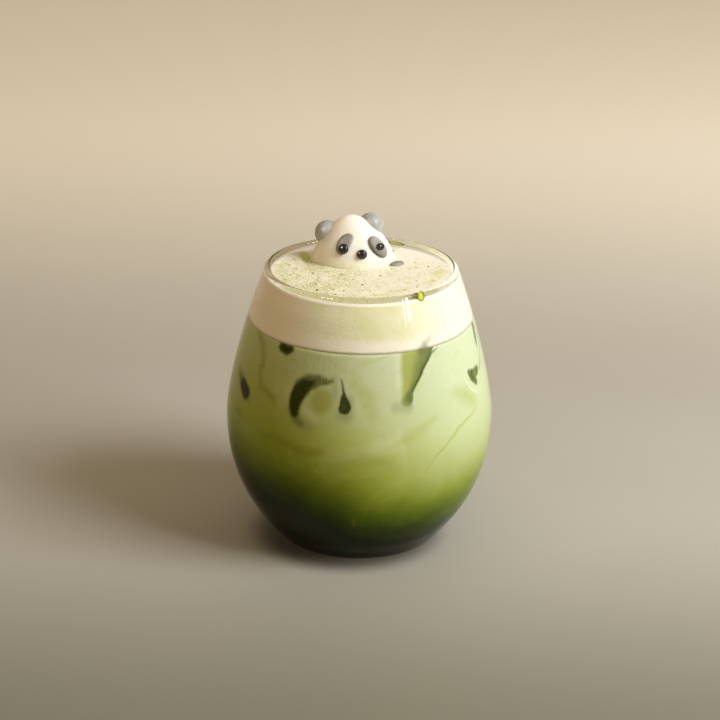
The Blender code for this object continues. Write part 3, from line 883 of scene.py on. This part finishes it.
# Shades of the panda, the powder and the wet matcha, dark to light
DOUGH_DARK = (0.88, 0.85, 0.79)
DOUGH_LIGHT = (0.92, 0.90, 0.85)
DUSTED_DOUGH = (0.74, 0.74, 0.42)
DOUGH_GLOW = (1.0, 0.7, 0.45)
DOUGH_GLOW_DEPTH = 0.0035
EAR_SHADES = ((0.33, 0.36, 0.36), (0.42, 0.45, 0.45))
PAW_SHADES = ((0.20, 0.215, 0.18), (0.26, 0.28, 0.235))
BLACK_SHADES = ((0.008, 0.011, 0.008), (0.016, 0.022, 0.015))
LEFT_ICING_SHADES = ((0.17, 0.16, 0.135), (0.28, 0.27, 0.24), (0.72, 0.70, 0.65))
RIGHT_ICING_SHADES = ((0.10, 0.095, 0.075), (0.27, 0.26, 0.23), (0.58, 0.57, 0.51))
GRAIN_SHADES = ((0.045, 0.050, 0.012), (0.15, 0.16, 0.035), (0.56, 0.56, 0.17))
CLUMP_SHADES = ((0.13, 0.13, 0.05), (0.54, 0.54, 0.32), (0.84, 0.82, 0.66))
MIDDLE_SHADE_SHARE = 0.45
DROP_GREEN = (0.58, 0.62, 0.05)
DROP_RIM_GREEN = (0.11, 0.14, 0.010)


def sweet_material(name, shades, roughness, lump_scale, gloss):
    """Sweet dough: two shades blended by soft blotches, with a fine uneven surface."""
    material, recipe, shader = new_material(name, roughness, gloss)
    points = recipe.points()
    blotches = recipe.noise(points, lump_scale, 3.0, 0.6)
    paint(recipe, shader, recipe.blend(blotches.rise(0.3, 0.7), *shades))
    roughen_dough(recipe, shader, points)
    return material


def head_material():
    """Soft white dough, a little see-through, with powder caught where it stands in the foam."""
    material, recipe, shader = new_material("white_sweet", 0.5, 0.4)
    points = recipe.points()
    blotches = recipe.noise(points, 180.0, 3.0, 0.6)
    white = recipe.blend(blotches.rise(0.3, 0.7), DOUGH_DARK, DOUGH_LIGHT)
    level = recipe.axis(points, "Z")
    powder = recipe.noise(points, 900.0, 3.0, 0.7)
    dusted = (level + (blotches - 0.5) * 0.003).rise(0.0985, 0.0950) * powder.rise(0.35, 0.62)
    paint(recipe, shader, recipe.blend(dusted * 0.6, white, DUSTED_DOUGH))
    shader.inputs["Subsurface Weight"].default_value = 0.6
    shader.inputs["Subsurface Radius"].default_value = DOUGH_GLOW
    shader.inputs["Subsurface Scale"].default_value = DOUGH_GLOW_DEPTH
    roughen_dough(recipe, shader, points)
    return material


def patch_material(name, shades):
    """Icing round an eye, with painted shade: dark at the viewer's left of the patch and light at its right.
    """
    material, recipe, shader = new_material(name, 0.42, 0.4)
    dark, middle, light = shades
    points = recipe.points()
    side = recipe.attribute("pad_side") + (recipe.noise(points, 420.0, 3.0, 0.6) - 0.5) * 0.6
    # painted shade across the patch, from its dark left to its light right
    colour = recipe.blend(side.rise(-0.95, 0.25), dark, middle)
    paint(recipe, shader, recipe.blend(side.rise(0.1, 1.0), colour, light))
    roughen_dough(recipe, shader, points)
    return material


def powder_material(name, shades, shade_name=None):
    """Powder whose grains each have their own shade, by chance or by an attribute of that name."""
    material, recipe, shader = new_material(name, 0.8, 0.2)
    if shade_name:
        shade = recipe.attribute(shade_name)
    else:
        shade = recipe.value(recipe.add("NewGeometry"), "Random Per Island")
    stops = list(zip((0.0, MIDDLE_SHADE_SHARE, 1.0), shades))
    paint(recipe, shader, recipe.ramp(shade, stops, "LINEAR"))
    return material


def liquid_material():
    """Wet matcha: glossy, bright yellow-green in the middle of a drop and dark at its rim, where the dark is
    painted shade.
    """
    material, recipe, shader = new_material("wet_matcha", 0.08, 0.5)
    # painted shade towards the drop's rim
    rim = recipe.attribute("drop_rim") + (recipe.noise(recipe.points(), 700.0, 2.0) - 0.5) * 0.5
    paint(recipe, shader, recipe.blend(rim.rise(0.35, 0.85), DROP_GREEN, DROP_RIM_GREEN))
    shader.inputs["Coat Weight"].default_value = 0.6
    shader.inputs["Coat Roughness"].default_value = 0.05
    return material


# Glass, drink and foam


GLASS_SEGMENTS = 160
FOAM_SEGMENTS = 224
FOAM_RINGS = 84
FOAM_SIDE_STEPS = 16
FLAT_RADIUS = 0.02


def make_glass():
    glass = turned("stemless_glass", glass_line(), GLASS_SEGMENTS)
    return dress(glass, glass_material(), "clear_glass", "glass")


def make_drink():
    """The drink reaches just into the wall and up to the foam."""
    floor = floor_line(-INTO_WALL, FLOOR_STEPS)
    wall = inside_line(FLOOR_LEVEL, DRINK_LEVEL, -INTO_WALL, WALL_STEPS)
    wall = [point for point in wall if point[1] > floor[-1][1] + NUDGE]
    line = [(0.0, DRINK_LEVEL), (FLAT_RADIUS, DRINK_LEVEL)] + (floor + wall)[::-1]
    drink = turned("matcha_drink", line, GLASS_SEGMENTS)
    return dress(drink, drink_material(), "matcha_drink", "matcha_latte")


FOAM_EDGE = inside_radius(FOAM_LEVEL, -INTO_WALL)
LUMP_SIZE = 1.9 * MM
LUMP_HEIGHT = 0.07 * MM


def foam_relief(x, y):
    """Rise of the foam's surface: the CAD part's dip, a share of its swells, and finer lumps."""
    waves = math.sin(x / SWELL_LENGTH * 6.3 + 1.2) + math.sin((y + 0.6 * x) / SWELL_LENGTH * 5.1)
    waves += math.sin((y - 0.8 * x) / SWELL_LENGTH * 8.4 + 2.0)
    fade = smooth_step((FOAM_EDGE - math.hypot(x, y)) / SWELL_LENGTH)
    across = (x - DIP_CENTRE[0]) / DIP_HALF_WIDTH
    along = (y - DIP_CENTRE[1]) / DIP_HALF_LENGTH
    dip = DIP_DEPTH * math.exp(-across * across - along * along)
    lumps = noise.fractal(Vector((x, y, 0.0)) / LUMP_SIZE, 1.0, 2.0, 4)
    edge = smooth_step((FOAM_EDGE - math.hypot(x, y)) / (2 * MM))
    return SWELL_SHARE * SWELL_HEIGHT * waves * fade - dip + LUMP_HEIGHT * lumps * edge


# Stains of wet matcha on the foam: middle and half sizes in millimetres, turn of the long side, strength
STAINS = [
    (25.6, 1.0, 6.5, 2.8, 78.0, 0.66),
    (23.6, -7.0, 3.6, 2.0, 60.0, 0.66),
    (15.3, -9.2, 2.2, 1.0, 10.0, 0.8),
    (12.0, -17.5, 3.8, 1.1, 15.0, 0.8),
    (20.0, -20.0, 4.5, 1.3, 42.0, 0.7),
    (6.0, -21.5, 5.0, 1.3, 12.0, 0.8),
    (-4.0, -24.5, 4.5, 1.2, 5.0, 0.6),
    (13.5, 28.6, 7.0, 1.6, -20.0, 0.60),
    (-19.6, 19.0, 2.2, 5.5, 0.0, 1.0),
    (-26.0, -8.0, 1.4, 3.5, 20.0, 0.4),
    (-22.0, -17.0, 3.4, 1.2, -40.0, 0.5),
    (2.0, 29.0, 5.0, 1.4, 5.0, 0.7),
]


def stain_at(x, y):
    """Strength of the wet stains at a point of the foam."""
    strength = 0.0
    for middle_x, middle_y, half_length, half_width, turn, weight in STAINS:
        dx, dy = x / MM - middle_x, y / MM - middle_y
        angle = math.radians(turn)
        along = (dx * math.cos(angle) + dy * math.sin(angle)) / half_length
        across = (dy * math.cos(angle) - dx * math.sin(angle)) / half_width
        strength = max(strength, weight * math.exp(-along * along - across * across))
    return strength


PATCH_SIZE = 5.5 * MM
RIGHT_DUSTING = 0.38
BARE_EDGE = 2.5 * MM
THINNEST_PATCH = 0.25


def dusting_at(x, y):
    """How thickly the powder lies: dense at the left and in front of the head, thin elsewhere."""
    patch = 0.5 + 0.5 * noise.noise(Vector((x, y, 3.0 * MM)) / PATCH_SIZE)
    front_left = smooth_step((0.020 - x) / 0.034) * smooth_step((0.026 - y) / 0.020)
    right = RIGHT_DUSTING * smooth_step((0.030 - y) / 0.03)
    edge = smooth_step((FOAM_EDGE - math.hypot(x, y)) / BARE_EDGE)
    return min(1.0, (THINNEST_PATCH + (1.0 - THINNEST_PATCH) * patch) * max(front_left, right)) * edge


def make_foam():
    """Foam with a dense top, so that its swells, dip and lumps are in the mesh."""
    side = inside_line(DRINK_LEVEL, FOAM_LEVEL, -INTO_WALL, FOAM_SIDE_STEPS)
    top = [(FOAM_EDGE * index / FOAM_RINGS, FOAM_LEVEL) for index in range(FOAM_RINGS)]
    line = top + side[::-1] + [(FLAT_RADIUS, DRINK_LEVEL), (0.0, DRINK_LEVEL)]
    foam = turned("cream_foam_top", line, FOAM_SEGMENTS)
    attributes = {}
    for name in ("dusting", "stain", "top"):
        attributes[name] = foam.data.attributes.new(name, "FLOAT", "POINT")
    for vertex in foam.data.vertices:
        if vertex.co.z > FOAM_LEVEL - NUDGE:
            x, y = vertex.co.x, vertex.co.y
            vertex.co.z += foam_relief(x, y)
            attributes["dusting"].data[vertex.index].value = dusting_at(x, y)
            attributes["stain"].data[vertex.index].value = stain_at(x, y)
            attributes["top"].data[vertex.index].value = 1.0
    foam.data.update()
    return dress(foam, foam_material(), "cream_foam", "cream_foam")


# Panda


HEAD_SEGMENTS = 96
DOME_STEPS = 40
BOWL_STEPS = 10
SEARCH_REACH = 4 * MM


def head_dome(height):
    return (1 - height ** HEAD_RISE_POWER) ** (1 / HEAD_PLAN_POWER)


def head_excess(point):
    """Below zero inside the head's dome, zero on its surface and above zero outside it."""
    height = (point.z - HEAD_WAIST_LEVEL) / HEAD_RISE
    lean = HEAD_LEAN * (point.z - HEAD_WAIST_LEVEL)
    across = (point.x - HEAD_CENTRE[0] - lean) / HEAD_HALF_WIDTH
    along = (point.y - HEAD_CENTRE[1]) / HEAD_HALF_DEPTH
    return math.hypot(across, along) ** HEAD_PLAN_POWER + max(height, 0.0) ** HEAD_RISE_POWER - 1


def head_normal(point):
    axes = (Vector((NUDGE, 0, 0)), Vector((0, NUDGE, 0)), Vector((0, 0, NUDGE)))
    return Vector([head_excess(point + step) - head_excess(point - step) for step in axes]).normalized()


def head_point(turn, height):
    """Point of the dome at a turn from the viewer's side and a height from 0 to 1."""
    angle = math.radians(turn)
    plan = 1 / math.hypot(math.sin(angle) / HEAD_HALF_WIDTH, math.cos(angle) / HEAD_HALF_DEPTH)
    radius = plan * head_dome(height)
    x = HEAD_CENTRE[0] + radius * math.sin(angle) + HEAD_LEAN * HEAD_RISE * height
    return Vector((x, HEAD_CENTRE[1] - radius * math.cos(angle), HEAD_WAIST_LEVEL + HEAD_RISE * height))


def drop_on_head(point, normal):
    """Move a point along a direction until it lies on the head."""
    low, high = -SEARCH_REACH, SEARCH_REACH
    for _ in range(30):
        middle = (low + high) / 2
        if head_excess(point + normal * middle) < 0:
            low = middle
        else:
            high = middle
    return point + normal * low


def make_head(material):
    """Dome above its waist and a shallow bowl below it."""
    heights = [math.sin(math.radians(90.0 * index / DOME_STEPS)) for index in range(DOME_STEPS, -1, -1)]
    line = [(HEAD_HALF_WIDTH * head_dome(share), HEAD_WAIST_LEVEL + HEAD_RISE * share) for share in heights]
    for index in range(1, BOWL_STEPS + 1):
        angle = math.radians(90.0 / BOWL_STEPS * index)
        depth = HEAD_SUNK_DEPTH * math.sin(angle)
        line.append((HEAD_HALF_WIDTH * math.cos(angle), HEAD_WAIST_LEVEL - depth))
    line[-1] = (0.0, line[-1][1])
    head = turned("white_head", line, HEAD_SEGMENTS)
    depth_share = HEAD_HALF_DEPTH / HEAD_HALF_WIDTH
    for vertex in head.data.vertices:
        lean = HEAD_LEAN * max(vertex.co.z - HEAD_WAIST_LEVEL, 0.0)
        vertex.co.x += HEAD_CENTRE[0] + lean
        vertex.co.y = HEAD_CENTRE[1] + vertex.co.y * depth_share
    head.data.update()
    return dress(head, material, "white_sweet", "panda_head")


def make_tip(material):
    """Tiny pulled tip of dough on the head's right shoulder, left by the hand that shaped it."""
    deselect()
    end_radius = 0.3 * TIP_RADIUS
    bpy.ops.mesh.primitive_cone_add(vertices=20, radius1=TIP_RADIUS, radius2=end_radius, depth=TIP_LENGTH)
    tip = bpy.context.object
    tip.name = "head_tip"
    tip.data.name = "head_tip"
    bevel = tip.modifiers.new("rounded", "BEVEL")
    bevel.width = end_radius
    bevel.segments = 3
    apply_modifier(tip, "rounded")
    bpy.ops.object.shade_smooth()
    place = head_point(*TIP_PLACE)
    direction = Vector(TIP_DIRECTION).normalized()
    turn = direction.to_track_quat("Z", "Y").to_matrix().to_4x4()
    settle(tip, Matrix.Translation(place + direction * 0.25 * TIP_LENGTH) @ turn)
    return dress(tip, material, "white_sweet")


def make_pad(name, place, material, slot, flatness, base_offset):
    """Rounded pad that follows the head, pressed on it."""
    turn, height, length, width, thickness, tilt = place
    middle = head_point(turn, height)
    normal = head_normal(middle)
    across = Vector((0, 0, 1)).cross(normal).normalized()
    upwards = normal.cross(across)
    lean = math.radians(tilt)
    long_axis = upwards * math.cos(lean) + across * math.sin(lean)
    short_axis = across * math.cos(lean) - upwards * math.sin(lean)
    pad = ball(name + "_pad", 1.0, 48, 24)
    side = pad.data.attributes.new("pad_side", "FLOAT", "POINT")
    for vertex in pad.data.vertices:
        side.data[vertex.index].value = vertex.co.x
        flat = math.hypot(vertex.co.x, vertex.co.y)
        spread = flat ** flatness / flat if flat > NUDGE else 0.0
        level = math.copysign(abs(vertex.co.z) ** flatness, vertex.co.z)
        offset = base_offset + (thickness if level > 0 else PAD_ROOT) * level
        over = middle + long_axis * (vertex.co.y * spread * length / 2)
        over += short_axis * (vertex.co.x * spread * width / 2)
        seat = drop_on_head(over, normal)
        vertex.co = seat + head_normal(seat) * offset
    pad.data.update()
    face_outwards(pad)
    return dress(pad, material, slot, name)


def make_ears(material):
    for name, (turn, height, inward) in EARS.items():
        surface = head_point(turn, height)
        centre = surface - head_normal(surface) * inward
        ear = ball(name + "_ball", EAR_RADIUS)
        settle(ear, Matrix.Translation(centre))
        dress(ear, material, "grey_sweet", name)


def make_paw(material):
    paw = ball("panda_paw_stub", 1.0, 40, 20)
    size = Matrix.Diagonal((*PAW_HALF_SIZE, 1.0))
    settle(paw, Matrix.Translation(PAW_CENTRE) @ Matrix.Rotation(math.radians(PAW_TURN), 4, "Z") @ size)
    dress(paw, material, "grey_sweet", "panda_paw")


def make_panda():
    white = head_material()
    make_head(white)
    make_tip(white)
    make_ears(sweet_material("grey_sweet", EAR_SHADES, 0.38, 260.0, 0.8))
    make_paw(sweet_material("paw_dough", PAW_SHADES, 0.38, 260.0, 0.6))
    icing = {
        "panda_eye_patch_left": patch_material("left_icing", LEFT_ICING_SHADES),
        "panda_eye_patch_right": patch_material("right_icing", RIGHT_ICING_SHADES),
    }
    black = sweet_material("black_sweet", BLACK_SHADES, 0.14, 300.0, 0.6)
    for name, place in EYE_PATCHES.items():
        make_pad(name, place, icing[name], "grey_sweet", PATCH_FLATNESS, 0.1 * MM)
    for (name, place), patch in zip(EYES.items(), EYE_PATCHES.values()):
        make_pad(name, place, black, "black_sweet", BUTTON_FLATNESS, patch[4])
    for name, place in NOSE.items():
        make_pad(name, place, black, "black_sweet", BUTTON_FLATNESS, 0.3 * MM)


# Powder
GRAINS_PER_SQUARE_METRE = 4.2e6
GRAIN_RADIUS = 0.00012
GRAIN_CROWDING = 1.4
NET_STEPS = 150
GRAIN_SIZES = ((0.4, 0.4, 0.3), (1.6, 1.6, 0.9))
GRAIN_TURNS = ((-0.5, -0.5, 0.0), (0.5, 0.5, math.tau))


def random_vector(nodes, ends, seed):
    """Node that draws a vector between two ends for each grain."""
    node = nodes.new("FunctionNodeRandomValue")
    node.data_type = "FLOAT_VECTOR"
    node.inputs[0].default_value = ends[0]
    node.inputs[1].default_value = ends[1]
    node.inputs["Seed"].default_value = seed
    return node


def scatter_grains(material):
    """Spread grains over a net that follows the foam's top, by its dusting, and keep them as one mesh."""
    deselect()
    bpy.ops.mesh.primitive_grid_add(x_subdivisions=NET_STEPS, y_subdivisions=NET_STEPS, size=2.0 * FOAM_EDGE)
    grains = bpy.context.object
    grains.name = "matcha_grains"
    grains.data.name = "matcha_grains"
    dusting = grains.data.attributes.new("dusting", "FLOAT", "POINT")
    for vertex in grains.data.vertices:
        x, y = vertex.co.x, vertex.co.y
        vertex.co.z = FOAM_LEVEL + foam_relief(x, y)
        dusting.data[vertex.index].value = dusting_at(x, y)
    grains.data.update()
    tree = bpy.data.node_groups.new("scatter_grains", "GeometryNodeTree")
    tree.interface.new_socket("Geometry", in_out="INPUT", socket_type="NodeSocketGeometry")
    tree.interface.new_socket("Geometry", in_out="OUTPUT", socket_type="NodeSocketGeometry")
    nodes = tree.nodes
    given = nodes.new("NodeGroupInput")
    result = nodes.new("NodeGroupOutput")
    density = nodes.new("GeometryNodeInputNamedAttribute")
    density.data_type = "FLOAT"
    density.inputs["Name"].default_value = "dusting"
    share = nodes.new("ShaderNodeMath")
    share.operation = "POWER"
    share.inputs[1].default_value = GRAIN_CROWDING
    more = nodes.new("ShaderNodeMath")
    more.operation = "MULTIPLY"
    more.inputs[1].default_value = GRAINS_PER_SQUARE_METRE
    places = nodes.new("GeometryNodeDistributePointsOnFaces")
    places.inputs["Seed"].default_value = 5
    grain = nodes.new("GeometryNodeMeshIcoSphere")
    grain.inputs["Radius"].default_value = GRAIN_RADIUS
    grain.inputs["Subdivisions"].default_value = 1
    instance = nodes.new("GeometryNodeInstanceOnPoints")
    size = random_vector(nodes, GRAIN_SIZES, 8)
    turn = random_vector(nodes, GRAIN_TURNS, 9)
    real = nodes.new("GeometryNodeRealizeInstances")
    links = tree.links
    links.new(given.outputs[0], places.inputs["Mesh"])
    links.new(density.outputs["Attribute"], share.inputs[0])
    links.new(share.outputs[0], more.inputs[0])
    links.new(more.outputs[0], places.inputs["Density"])
    links.new(places.outputs["Points"], instance.inputs["Points"])
    links.new(grain.outputs["Mesh"], instance.inputs["Instance"])
    links.new(size.outputs["Value"], instance.inputs["Scale"])
    links.new(turn.outputs["Value"], instance.inputs["Rotation"])
    links.new(instance.outputs["Instances"], real.inputs[0])
    links.new(real.outputs[0], result.inputs[0])
    spread = grains.modifiers.new("spread", "NODES")
    spread.node_group = tree
    apply_modifier(grains, "spread")
    return dress(grains, material, "cream_foam")


CLUMP_COUNT = 44
CLUMP_RADIUS = (0.00036, 0.00056)
CLUMP_REACH = 0.0275
CLUMP_CLEARANCE = 0.0020
CLUMP_FLATTENING = 0.7
CLUMP_SEED = 11


def on_head_plan(x, y, margin):
    across = (x - HEAD_CENTRE[0]) / (HEAD_HALF_WIDTH + margin)
    along = (y - HEAD_CENTRE[1]) / (HEAD_HALF_DEPTH + margin)
    return math.hypot(across, along) < 1


def clump_places():
    """Places and sizes of the largest clumps of powder, as the CAD part draws them."""
    draw = random.Random(CLUMP_SEED)
    places = []
    while len(places) < CLUMP_COUNT:
        angle = draw.uniform(-math.pi, math.pi)
        radius = CLUMP_REACH * math.sqrt(draw.random())
        x, y = radius * math.cos(angle), radius * math.sin(angle)
        size = draw.uniform(*CLUMP_RADIUS)
        dusted = draw.random() < 0.55 - 0.45 * x / CLUMP_REACH
        paw_distance = math.hypot(x - PAW_CENTRE[0], y - PAW_CENTRE[1])
        dip_distance = math.hypot(x - DIP_CENTRE[0], y - DIP_CENTRE[1])
        clear = not on_head_plan(x, y, CLUMP_CLEARANCE)
        clear = clear and paw_distance > PAW_HALF_SIZE[0] + CLUMP_CLEARANCE
        clear = clear and dip_distance > DIP_HALF_LENGTH
        spaced = all(math.hypot(x - a, y - b) > 2 * CLUMP_CLEARANCE for a, b, _ in places)
        if dusted and clear and spaced:
            places.append((x, y, size))
    return places


def make_clumps(material):
    """Clumps of powder that stand on the foam, modelled once and copied."""
    deselect()
    bpy.ops.mesh.primitive_ico_sphere_add(subdivisions=2, radius=1.0)
    pattern = bpy.context.object
    pattern.name = "matcha_clump"
    pattern.data.name = "matcha_clump"
    roughen(pattern, 0.8, 0.5)
    pattern_mesh = pattern.data.copy()
    draw = random.Random(CLUMP_SEED)
    for index, (x, y, size) in enumerate(clump_places()):
        clump = pattern
        if index:
            clump = pattern.copy()
            clump.data = pattern_mesh.copy()
            bpy.context.scene.collection.objects.link(clump)
        turn = Matrix.Rotation(draw.uniform(0.0, math.tau), 4, "Z")
        grow = Matrix.Diagonal((size, size, size * CLUMP_FLATTENING, 1.0))
        shade = clump.data.attributes.new("clump_shade", "FLOAT", "POINT")
        shade.data.foreach_set("value", [draw.random()] * len(clump.data.vertices))
        settle(clump, Matrix.Translation((x, y, FOAM_LEVEL + foam_relief(x, y))) @ turn @ grow)
        dress(clump, material, "cream_foam")


# Wet matcha on the glass above the foam


# Turn, level, half width, half height, thickness and least darkness of each drop or film
WALL_DROPS = [
    ("matcha_drop", 38.0, 0.0951, 0.0017, 0.0015, 0.0009, 0.0),
    ("matcha_film_front", 38.0, 0.09625, 0.0030, 0.00020, 0.0005, 0.85),
    ("matcha_film_back", 158.0, 0.0960, 0.0040, 0.0006, 0.0004, 0.0),
]
DROP_GRIP = 0.0004


def make_wall_drop(name, turn, level, half_width, half_height, thickness, darkness, material):
    """Flat drop that clings to the inside of the glass."""
    drop = ball(name, 1.0, 40, 20)
    rim = drop.data.attributes.new("drop_rim", "FLOAT", "POINT")
    for vertex in drop.data.vertices:
        # painted shade towards a drop's rim; a film keeps its least darkness all over
        rim.data[vertex.index].value = max(math.hypot(vertex.co.x, vertex.co.z), darkness)
        height = level + vertex.co.z * half_height
        radius = inside_radius(min(height, BEAD_HEIGHT)) + DROP_GRIP
        reach = radius - thickness * 0.5 * (1.0 + vertex.co.y)
        angle = math.radians(turn) + vertex.co.x * half_width / radius
        vertex.co = Vector((reach * math.sin(angle), -reach * math.cos(angle), height))
    drop.data.update()
    face_outwards(drop)
    return dress(drop, material, "matcha_drink")


def make_wall_drops():
    wet = liquid_material()
    for row in WALL_DROPS:
        make_wall_drop(*row, wet)


# Stage, light and camera


FLOOR_SIZE = 8.0
FLOOR_TONES = ((0.42, 0.41, 0.37), (0.48, 0.47, 0.43))
# painted shade on the floor towards the viewer: its tone and where it fades in
NEAR_TONE = (0.19, 0.19, 0.15)
NEAR_FLOOR = (0.03, -0.16)
FAR_TONE = (0.97, 0.93, 0.83)
FAR_FLOOR = (0.12, 0.55)
# painted contact shadow round the glass's foot: its tone, shift and reach
CONTACT_SHADOW_TONE = (0.035, 0.032, 0.020)
CONTACT_SHIFT = (0.004, 0.003, 0.0)
CONTACT_REACH = (0.038, 0.026)
# Name, turn, elevation, distance, width, height, power and colour of each light, and whether it only shows
# in what reflects it
LIGHTS = [
    ("window", 67.0, 36.0, 1.1, 0.55, 0.60, 15.0, (1.0, 0.985, 0.95), False),
    ("window_pane", 54.0, 20.0, 1.3, 0.07, 0.26, 2.6, (1.0, 0.98, 0.94), True),
    ("second_pane", 48.5, 20.0, 1.3, 0.02, 0.26, 0.40, (1.0, 0.98, 0.94), True),
    ("left_glint", -46.0, 42.0, 1.2, 0.30, 0.30, 7.0, (1.0, 0.97, 0.92), True),
    ("right_glint", 72.0, 42.0, 1.2, 0.30, 0.30, 7.0, (1.0, 0.98, 0.95), True),
]
LIGHT_AIM = (0.0, 0.0, 0.05)
# The room round the glass: towards the viewer, behind the glass and above, left to right
ROOM_LEFT = (0.57, 0.365, 0.158)
ROOM_RIGHT = (0.25, 0.20, 0.125)
WALL_LEFT = (0.46, 0.37, 0.25)
WALL_RIGHT = (0.62, 0.55, 0.44)
CEILING = (0.34, 0.27, 0.18)


def make_floor():
    deselect()
    bpy.ops.mesh.primitive_plane_add(size=FLOOR_SIZE)
    floor = bpy.context.object
    floor.name = "floor"
    material, recipe, shader = new_material("pale_floor", 0.55, 0.3)
    points = recipe.points()
    tone = recipe.noise(points, 9.0, 5.0, 0.6)
    colour = recipe.blend(tone, *FLOOR_TONES)
    away = recipe.axis(points, "Y")
    # painted shade: the floor darkens towards the viewer
    colour = recipe.blend(away.rise(*NEAR_FLOOR), colour, NEAR_TONE)
    colour = recipe.blend(away.rise(*FAR_FLOOR), colour, FAR_TONE)
    # painted contact shadow on the floor round the glass's foot
    beside = recipe.value(recipe.add("Mapping", {"Vector": points, "Location": CONTACT_SHIFT}))
    contact = recipe.length(beside).rise(*CONTACT_REACH)
    colour = recipe.blend(contact * 0.8, colour, CONTACT_SHADOW_TONE)
    paint(recipe, shader, colour)
    floor.data.materials.append(material)


def make_light(name, turn, elevation, distance, width, height, power, colour, reflected):
    """Area light that faces the glass, and either lights the scene or only shows in what reflects it."""
    angle, rise = math.radians(turn), math.radians(elevation)
    direction = Vector((math.sin(angle) * math.cos(rise), -math.cos(angle) * math.cos(rise), math.sin(rise)))
    lamp = bpy.data.lights.new(name, "AREA")
    lamp.shape = "RECTANGLE"
    lamp.size = width
    lamp.size_y = height
    lamp.energy = power
    lamp.color = colour
    item = bpy.data.objects.new(name, lamp)
    bpy.context.scene.collection.objects.link(item)
    item.location = direction * distance + Vector(LIGHT_AIM)
    item.rotation_euler = direction.to_track_quat("Z", "Y").to_euler()
    item.visible_camera = False
    item.visible_glossy = reflected
    item.visible_transmission = False
    item.visible_diffuse = not reflected
    return item


def make_lights():
    """Broad window light from the right, narrow bright panes that show in the glass, and a warm room."""
    for row in LIGHTS:
        make_light(*row)
    world = bpy.data.worlds.new("warm_room")
    bpy.context.scene.world = world
    world.use_nodes = True
    recipe = Recipe(world.node_tree)
    direction = recipe.value(recipe.add("TexCoord"), "Generated")
    behind = recipe.axis(direction, "Y").rise(-0.25, 0.45)
    right = recipe.axis(direction, "X").rise(-0.5, 0.8)
    up = recipe.axis(direction, "Z").rise(0.25, 0.9)
    room = recipe.blend(right, ROOM_LEFT, ROOM_RIGHT)
    wall = recipe.blend(right, WALL_LEFT, WALL_RIGHT)
    colour = recipe.blend(behind, room, wall)
    colour = recipe.blend(up * 0.5, colour, CEILING)
    background = world.node_tree.nodes["Background"]
    feed(world.node_tree, background.inputs["Color"], colour)
    background.inputs["Strength"].default_value = 1.0


def make_camera():
    """Camera at the photo's angle, turned a little clockwise as the photo is."""
    pitch, roll = math.radians(CAMERA_PITCH), math.radians(CAMERA_ROLL)
    ahead = Vector((0.0, math.cos(pitch), -math.sin(pitch)))
    level_right = Vector((1.0, 0.0, 0.0))
    level_up = level_right.cross(ahead)
    right = level_right * math.cos(roll) + level_up * math.sin(roll)
    up = level_up * math.cos(roll) - level_right * math.sin(roll)
    matrix = Matrix((right, up, -ahead)).transposed().to_4x4()
    matrix.translation = Vector((0.0, -CAMERA_DISTANCE, CAMERA_HEIGHT))
    camera = bpy.data.cameras.new("camera")
    camera.lens = CAMERA_LENS
    camera.sensor_width = SENSOR_WIDTH
    camera.clip_start = 0.01
    item = bpy.data.objects.new("camera", camera)
    bpy.context.scene.collection.objects.link(item)
    item.matrix_world = matrix
    bpy.context.scene.camera = item


def main():
    make_camera()
    make_floor()
    make_lights()
    make_glass()
    make_drink()
    make_foam()
    make_panda()
    scatter_grains(powder_material("matcha_powder", GRAIN_SHADES))
    make_clumps(powder_material("matcha_clumps", CLUMP_SHADES, "clump_shade"))
    make_wall_drops()
    bpy.context.scene.view_settings.view_transform = "Standard"


main()
